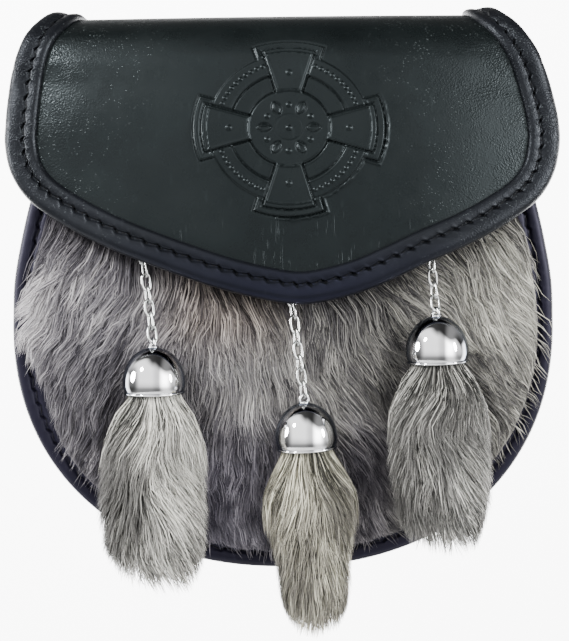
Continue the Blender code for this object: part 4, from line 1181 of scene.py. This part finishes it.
def coat(name, count, seed, layer, width):
    """One layer of the coat. layer: the least and greatest share of the depth that its hairs reach."""
    rng = np.random.default_rng(seed)
    g_across, g_down = coat_spots(COAT_GUIDES, rng)
    guides = len(g_across)
    g_length = rng.uniform(17.0, 25.0, guides)
    g_length = np.minimum(g_length, (1.0 - g_down) * fur_run(g_across)[0] + rng.uniform(4.0, 8.0, guides))
    g_length += 2.0 * overhang(fur_place(g_across, g_down))
    g_path = flow(g_across, g_down, g_length, rng, 0.36)
    across, down = coat_spots(count, rng)
    count = len(across)
    spot = fur_place(across, down)
    guide = nearest(spot, g_path[:, 0])
    over = overhang(spot)
    length = rng.uniform(16.0, 26.0, count)
    length = np.minimum(length, (1.0 - down) * fur_run(across)[0] + rng.uniform(2.5, 7.5, count))
    length += 8.0 * over * rng.random(guides)[guide] ** 1.5
    stray = (rng.random(count) < STRAYS) * smooth_step(rim_share(*spot.T), 0.70, 0.80)
    length += stray * rng.uniform(2.0, 8.0, count)
    own = flow(across, down, length, rng, 0.30)

    # each hair is drawn to its lock's guide, and back inside the binding if it isn't one of the stray ones
    t = np.linspace(0.0, 1.0, HAIR_STEPS)
    held = rng.uniform(0.35, 0.95, count)[:, None, None] * t[:, None] ** 0.8
    offset = (spot - g_path[guide, 0])[:, None]
    clumped = g_path[guide] + offset * (1.0 - 0.88 * t[:, None] ** 1.2)
    x, z = np.moveaxis(own + held * (clumped - own), -1, 0)
    clear = np.maximum(over, stray)[:, None]
    share = rim_share(x, z)
    limit = FUR_REACH + (1.0 - FUR_REACH) * clear
    pull = np.where(share > limit, (limit + 0.2 * (share - limit)) / share, 1.0)
    x, z = x * pull, BODY_CENTRE_Z + (z - BODY_CENTRE_Z) * pull

    lock = rng.uniform(0.55, 1.0, guides)[guide]
    reach = (rng.uniform(*layer, count) * lock)[:, None]
    rise = 1.0 - np.exp(-3.6 * t) - 0.28 * smooth_step(t, 0.7, 1.0)
    height = 0.25 + fur_depth(x, z) * 1.06 * reach * rise
    height = np.maximum(height, 3.4 * clear * smooth_step(rim_share(x, z), 0.90, 0.94))

    patch = 0.5 + 0.5 * lattice_noise(*spot.T, 26.0, 51)
    by_lock = rng.random(guides)[guide]
    tone = 0.52 * rng.random(count) + 0.34 * by_lock + 0.24 * patch
    tone += np.interp(spot[:, 0], COAT_TONE_X, COAT_TONE) + 0.46 * over * smooth_step(-spot[:, 0], 72.0, 82.0)
    # painted shade: the coat's tone is lowered beside and below each drop
    shaded = 0.0
    for drop in DROPS:
        below, beside = from_axis(drop, *spot.T)
        here = (1.0 - smooth_step(beside, 14.0, 32.0)) * smooth_step(below, -6.0, 12.0)
        shaded = np.maximum(shaded, here)
    tone -= 0.16 * shaded
    sizes = width * rng.uniform(0.7, 1.3, count)
    ribbons(name, on_front(x, z, GAP + height), [0.0, -1.0, 0.0], sizes, tone, "coat", seed + 1)


def coat_skin():
    """The backing with its underfur, which closes the coat between the hairs."""
    down = np.linspace(0.0, 1.0, 50)[:, None]
    spots = fur_place(np.linspace(-1.0, 1.0, 90), down)
    x, z = spots[..., 0], spots[..., 1]
    edge = 1.0 - 0.8 * smooth_step(down, 0.9, 1.0)
    height = fur_depth(x, z) * (0.30 + 0.08 * lattice_noise(x, z, 4.0, 61)) * edge
    face = on_front(x, z, GAP + height)
    shape = Shape()
    shape.grid(face, flip=True)
    shape.walls(face, on_front(x, z, GAP))
    shape.made("coat_backing", "coat_skin", ["fur_front"], "grey_fur")


def tassel_place(drop, angle, depth, radius):
    """A point of a tassel, so far round and down and from its axis, kept off the coat behind it."""
    flat = 1.0 + (TASSEL_FLATNESS - 1.0) * smooth_step(depth, CAP_HEIGHT, CAP_HEIGHT + 25.0)
    aside = np.interp(depth / drop.length, *TAILS[drop.side].drift)
    local = points(radius * np.cos(angle) + aside, flat * radius * np.sin(angle), -depth)
    spots = turned(local, cap_turn(drop), cap_top(drop))
    x, z = spots[..., 0], spots[..., 2]
    over = (depth > CAP_HEIGHT) & (rim_share(x, z) < 1.0)
    limit = pressed_fur_y(x, z) - FUR_CLEARANCE
    spots[..., 1] = np.where(over, np.minimum(spots[..., 1], limit), spots[..., 1])
    return spots


Tail = namedtuple("Tail", "tone sway drift rounding shades")  # shades: darker and lighter places, partly the hair's own tone and partly painted light and shade; how far aside and down, size, change
TAILS = {
    "left": Tail(
        0.09,
        ((0.2, 0.45, 0.7, 1.0), (0.0, -0.20, 0.15, 0.45)),
        ((0.2, 0.4, 0.65, 0.85, 1.0), (0.0, -0.6, -1.8, -1.0, 0.5)),
        (0.17, 0.11),
        [(-11.5, 55.0, 12.0, -0.62), (-12.0, 36.0, 8.0, -0.20), (8.0, 45.0, 13.0, 0.10)],
    ),
    "middle": Tail(
        -0.08,
        ((0.2, 0.5, 1.0), (0.0, 0.05, -0.10)),
        ((0.2, 1.0), (0.0, 0.0)),
        (0.10, 0.09),
        [(0.0, 26.0, 9.0, 0.12), (-11.0, 60.0, 9.0, -0.32), (11.0, 36.0, 8.0, -0.14), (3.0, 58.0, 9.0, 0.05)],
    ),
    "right": Tail(
        -0.16,
        ((0.2, 0.45, 0.75, 1.0), (0.0, -0.35, 0.20, 0.40)),
        ((0.2, 0.5, 1.0), (0.0, -0.4, 0.4)),
        (0.12, 0.07),
        [(2.5, 44.0, 6.0, -0.36), (-12.0, 66.0, 10.0, -0.24), (9.0, 62.0, 10.0, 0.08)],
    ),
}
TAIL_GUIDES = 320  # one for each lock


def tassel_end(drop, angle):
    """How deep a tassel's hairs reach: its end is rounded, and higher at its sides."""
    across = np.cos(angle)
    left, right = TAILS[drop.side].rounding
    return drop.length * (1.0 - np.where(across < 0.0, left, right) * np.abs(across) ** 2.2)


def turned_apart(a, b):
    """The angle from b to a, the short way round."""
    return np.angle(np.exp(1j * (a - b)))


def tassel_core(drop):
    """The bound tail under the hairs."""
    free = drop.length - CAP_HEIGHT
    angle = turns(40)
    share = np.concatenate([[-0.17, -0.11, -0.05], np.linspace(0.0, 1.0, 26)])[:, None]
    reach = np.where(share > 0.0, 0.96 * tassel_end(drop, angle) - CAP_HEIGHT, free)
    depth = CAP_HEIGHT + share * reach
    half = np.where(depth > CAP_HEIGHT, tassel_half_width(drop, depth - CAP_HEIGHT), 9.0)
    half = half * np.where(depth > CAP_HEIGHT, 0.80 - 0.12 * smooth_step(share, 0.0, 0.9), 0.9)
    half = half * np.sqrt(1.0 - 0.96 * smooth_step(share, 0.80, 1.0) ** 2)
    half = half * (1.0 + 0.05 * lattice_noise(angle * 6.0, depth * 0.3, 1.0, 71))
    rows = tassel_place(drop, angle, depth, half)
    shape = Shape()
    shape.grid(rows, closed=True, flip=True)
    for row, end in ((rows[0], depth[0, 0]), (rows[-1], 0.97 * drop.length)):
        shape.fan(row, tassel_place(drop, 0.0, end, 0.0))
    shape.made(f"tassel_{drop.side}_core", "tassel_skin", [f"tassel_{drop.side}"], "tassel_fur")


def tassel_starts(drop, count, rng):
    """Where hairs leave the cap or the tail: how far round and how deep."""
    high = rng.random(count) < 0.24
    low = CAP_HEIGHT + (drop.length - CAP_HEIGHT) * rng.uniform(-0.06, 0.80, count)
    depth = np.where(high, CAP_HEIGHT - rng.uniform(1.0, 3.5, count), low)
    facing = 0.5 * math.pi * (rng.uniform(-1.15, 1.15, count) - 1.0)
    behind = 0.5 * math.pi * (rng.uniform(-0.9, 0.9, count) + 1.0)
    return np.where(rng.random(count) < 0.80, facing, behind), depth


def tassel_tracks(drop, angle, start, length, turn, wave, slant, seed):
    """Angles and depths along hairs, which fan out to the tassel's sides."""
    t = np.linspace(0.0, 1.0, HAIR_STEPS)
    depth = start[:, None] + length[:, None] * t
    spread = 0.5 * (slant * np.sin(2.0 * turned_apart(angle, -0.5 * math.pi)))[:, None] * t
    sway = np.interp(depth / drop.length, *TAILS[drop.side].sway) * t
    phase = 3.0 * lattice_noise(angle * 3.0, start * 0.05, 1.0, seed)[:, None]
    ripple = wave * np.sin(2 * math.pi * depth / 24.0 + phase) * (0.4 + 0.6 * t)
    return angle[:, None] + spread + sway + ripple + turn[:, None] * t, depth


def tassel_key(angle, start):
    """Where hairs start, as points that lie near each other in one lock."""
    return points(14.0 * np.cos(angle), 14.0 * np.sin(angle), 0.6 * start)


def tassel_hair(drop, count, seed):
    """Hairs that leave the cap or the tail under them, slant away from the axis and lie in loose locks."""
    rng = np.random.default_rng(seed)
    tail = TAILS[drop.side]
    t = np.linspace(0.0, 1.0, HAIR_STEPS)
    g_angle, g_start = tassel_starts(drop, TAIL_GUIDES, rng)
    g_length = rng.uniform(20.0, 32.0, TAIL_GUIDES)
    g_turn, g_slant = rng.normal(0.0, 0.16, TAIL_GUIDES), rng.uniform(0.7, 1.5, TAIL_GUIDES)
    g_theta, _ = tassel_tracks(drop, g_angle, g_start, g_length, g_turn, 0.13, g_slant, seed + 4)
    angle, start = tassel_starts(drop, count, rng)
    guide = nearest(tassel_key(angle, start), tassel_key(g_angle, g_start))
    room = tassel_end(drop, angle) * rng.uniform(0.94, 1.02, count) - start
    length = np.minimum(rng.uniform(17.0, 32.0, count), np.maximum(room, 4.0))
    turn, slant = rng.normal(0.0, 0.17, count), rng.uniform(0.5, 1.7, count)
    theta, depth = tassel_tracks(drop, angle, start, length, turn, 0.08, slant, seed + 4)
    held = rng.uniform(0.1, 0.8, count)[:, None] * t
    led = g_theta[guide] + turned_apart(angle, g_angle[guide])[:, None] * (1.0 - 0.55 * t)
    theta = theta + held * turned_apart(led, theta)

    # hairs from the cap lie on its lip first, and the others rise out of the tail
    half = np.where(depth > CAP_HEIGHT, tassel_half_width(drop, depth - CAP_HEIGHT), CAP_RADIUS - CAP_WALL - 1.1)
    by_lock = rng.random(TAIL_GUIDES)[guide]
    outer = (0.84 + 0.10 * by_lock + 0.14 * rng.random(count) ** 0.8)[:, None]
    from_cap = (start < CAP_HEIGHT)[:, None]
    inner = np.where(from_cap, 0.84, 0.40)
    radius = half * (inner + (outer - inner) * np.where(from_cap, smooth_step(t, 0.0, 0.6), t**0.8))
    paths = tassel_place(drop, theta, depth, radius)
    outward = unit(paths - tassel_place(drop, theta, depth, 0.0))

    across, down = radius[:, -2] * np.cos(theta[:, -2]), depth[:, -2]
    tone = 0.84 * rng.random(count) + 0.20 * rng.random(TAIL_GUIDES)[guide] + 0.08 + tail.tone
    tone += 0.18 * lattice_noise(angle * 2.2, start * 0.07, 1.0, seed + 6)
    # painted light and shade together with the hair's own darker and lighter places
    for x, z, size, change in tail.shades:
        tone += change * hump(np.hypot(across - x, 0.7 * (down - z)), size)
    width = 0.26 * rng.uniform(0.5, 1.4, count)
    root = np.where(start < CAP_HEIGHT, 0.22, 0.0)
    ribbons(f"tassel_{drop.side}_hair", paths, outward, width, tone, drop.side, seed + 2, root)


# ---- the whole ----


def build():
    flap_leather()
    flap_binding()
    front_leather()
    back_leather()
    gusset_leather()
    belt_loop("left", -LOOP_X)
    belt_loop("right", LOOP_X)
    for name in [*(f"chain_staple_{drop.side}" for drop in DROPS), "press_stud"]:
        slots = bpy.data.objects[name].data.materials  # these keep their shapes
        slots.clear()
        slots.append(LOOKS["dull"])
    coat_skin()
    coat("coat_under", 12500, 100, (0.35, 0.75), 0.32)
    coat("coat_over", 28000, 200, (0.70, 1.05), 0.23)
    for k, drop in enumerate(DROPS):
        chain(drop)
        cap(drop)
        tassel_core(drop)
        tassel_hair(drop, 11200, 300 + 10 * k)


# ---- the studio ----

FLOOR_Z = -0.45
FLOOR_RADIUS = 0.6
FRONT_GLOW = 2.05
BACK_GLOW = 8.5
PLANE_Y = -0.05  # the photograph's scale holds here
SCALE = 0.0003442  # metres a pixel
FRAME_PIXELS = 641
LENS = 100.0
SENSOR = 36.0
CAMERA_ELEVATION = 4.5
TARGET = Vector((0.0005, PLANE_Y, -0.0456))
LIT = Vector((0.0, -0.04, -0.04))  # where the softboxes look
SOFTBOXES = [
    ("key", (-0.66, -0.52, 0.50), 0.16, 0.16, 13.0),
    ("left", (-0.85, -0.16, 0.10), 0.30, 0.34, 11.0),
    ("right", (0.80, -0.38, 0.12), 0.14, 0.30, 7.0),
]


def placed(name, data, location, ahead):
    made = bpy.data.objects.new(name, data)
    made.location = location
    made.rotation_mode = "QUATERNION"
    made.rotation_quaternion = ahead.to_track_quat("-Z", "Y")
    bpy.context.scene.collection.objects.link(made)
    return made


def camera():
    data = bpy.data.cameras.new("camera")
    data.lens, data.sensor_width = LENS, SENSOR
    data.clip_start, data.clip_end = 0.01, 50.0
    tilt = math.radians(CAMERA_ELEVATION)
    back = Vector((0.0, -math.cos(tilt), math.sin(tilt)))
    distance = SCALE * FRAME_PIXELS * LENS / SENSOR
    bpy.context.scene.camera = placed("camera", data, TARGET + back * distance, -back)


def softbox(name, location, width, height, power):
    data = bpy.data.lights.new(name, "AREA")
    data.shape = "ELLIPSE"
    data.size, data.size_y, data.energy = width, height, power
    placed(name, data, location, LIT - Vector(location))


def studio():
    """A bright white world behind, a bright front with a dark ceiling, and a pale floor below."""
    world = bpy.data.worlds.new("studio")
    bpy.context.scene.world = world
    tree = Tree(world, "Background", "Generated")

    def fade(axis, start, end, low, high):
        value = tree.part[axis] if isinstance(axis, str) else axis
        return tree.range(value, low, high, start, end, "SMOOTHSTEP")

    def total(first, *others):
        for other in others:
            first = tree.math("ADD", first, other)
        return first

    sides = tree.product(fade("X", -0.96, -0.74, 0.12, 1.0), fade("X", 0.74, 0.96, 1.0, 0.12))
    ceiling = total(
        tree.part["Z"],
        fade("Y", -0.2, 0.3, 0.0, 0.45),
        fade("X", 0.05, 0.85, 0.0, 0.42),
        fade("X", -0.5, 0.0, -0.16, 0.0),
    )
    front = tree.product(
        fade(ceiling, 0.66, 0.96, FRONT_GLOW, 0.06),
        fade("Z", -0.42, 0.16, 0.15, 1.03),
        sides,
        fade("X", -0.15, 0.24, 1.05, 0.66),
        fade("X", 0.33, 0.66, 1.0, 8.0),
    )
    back = tree.product(
        fade("Y", 0.10, 0.45, 0.0, BACK_GLOW),
        fade("Z", 0.10, 0.24, 1.0, 0.01),
        fade("Z", -0.60, -0.35, 0.1, 1.0),
    )
    tree.set(Strength=total(front, back), Color=(1.0, 1.0, 1.0))

    bpy.ops.mesh.primitive_circle_add(vertices=96, radius=FLOOR_RADIUS, fill_type="NGON", location=(0.0, 0.0, FLOOR_Z))
    floor = bpy.context.object
    floor.name = "floor"
    tree = material("pale_floor")
    shade = tree.ramp(tree.noise(3.0, 2.0), [(0.3, (0.62, 0.62, 0.62)), (0.7, (0.66, 0.66, 0.66))])
    floor.data.materials.append(tree.set(Base_Color=shade, Roughness=0.8))

    for box in SOFTBOXES:
        softbox(*box)


build()
camera()
studio()
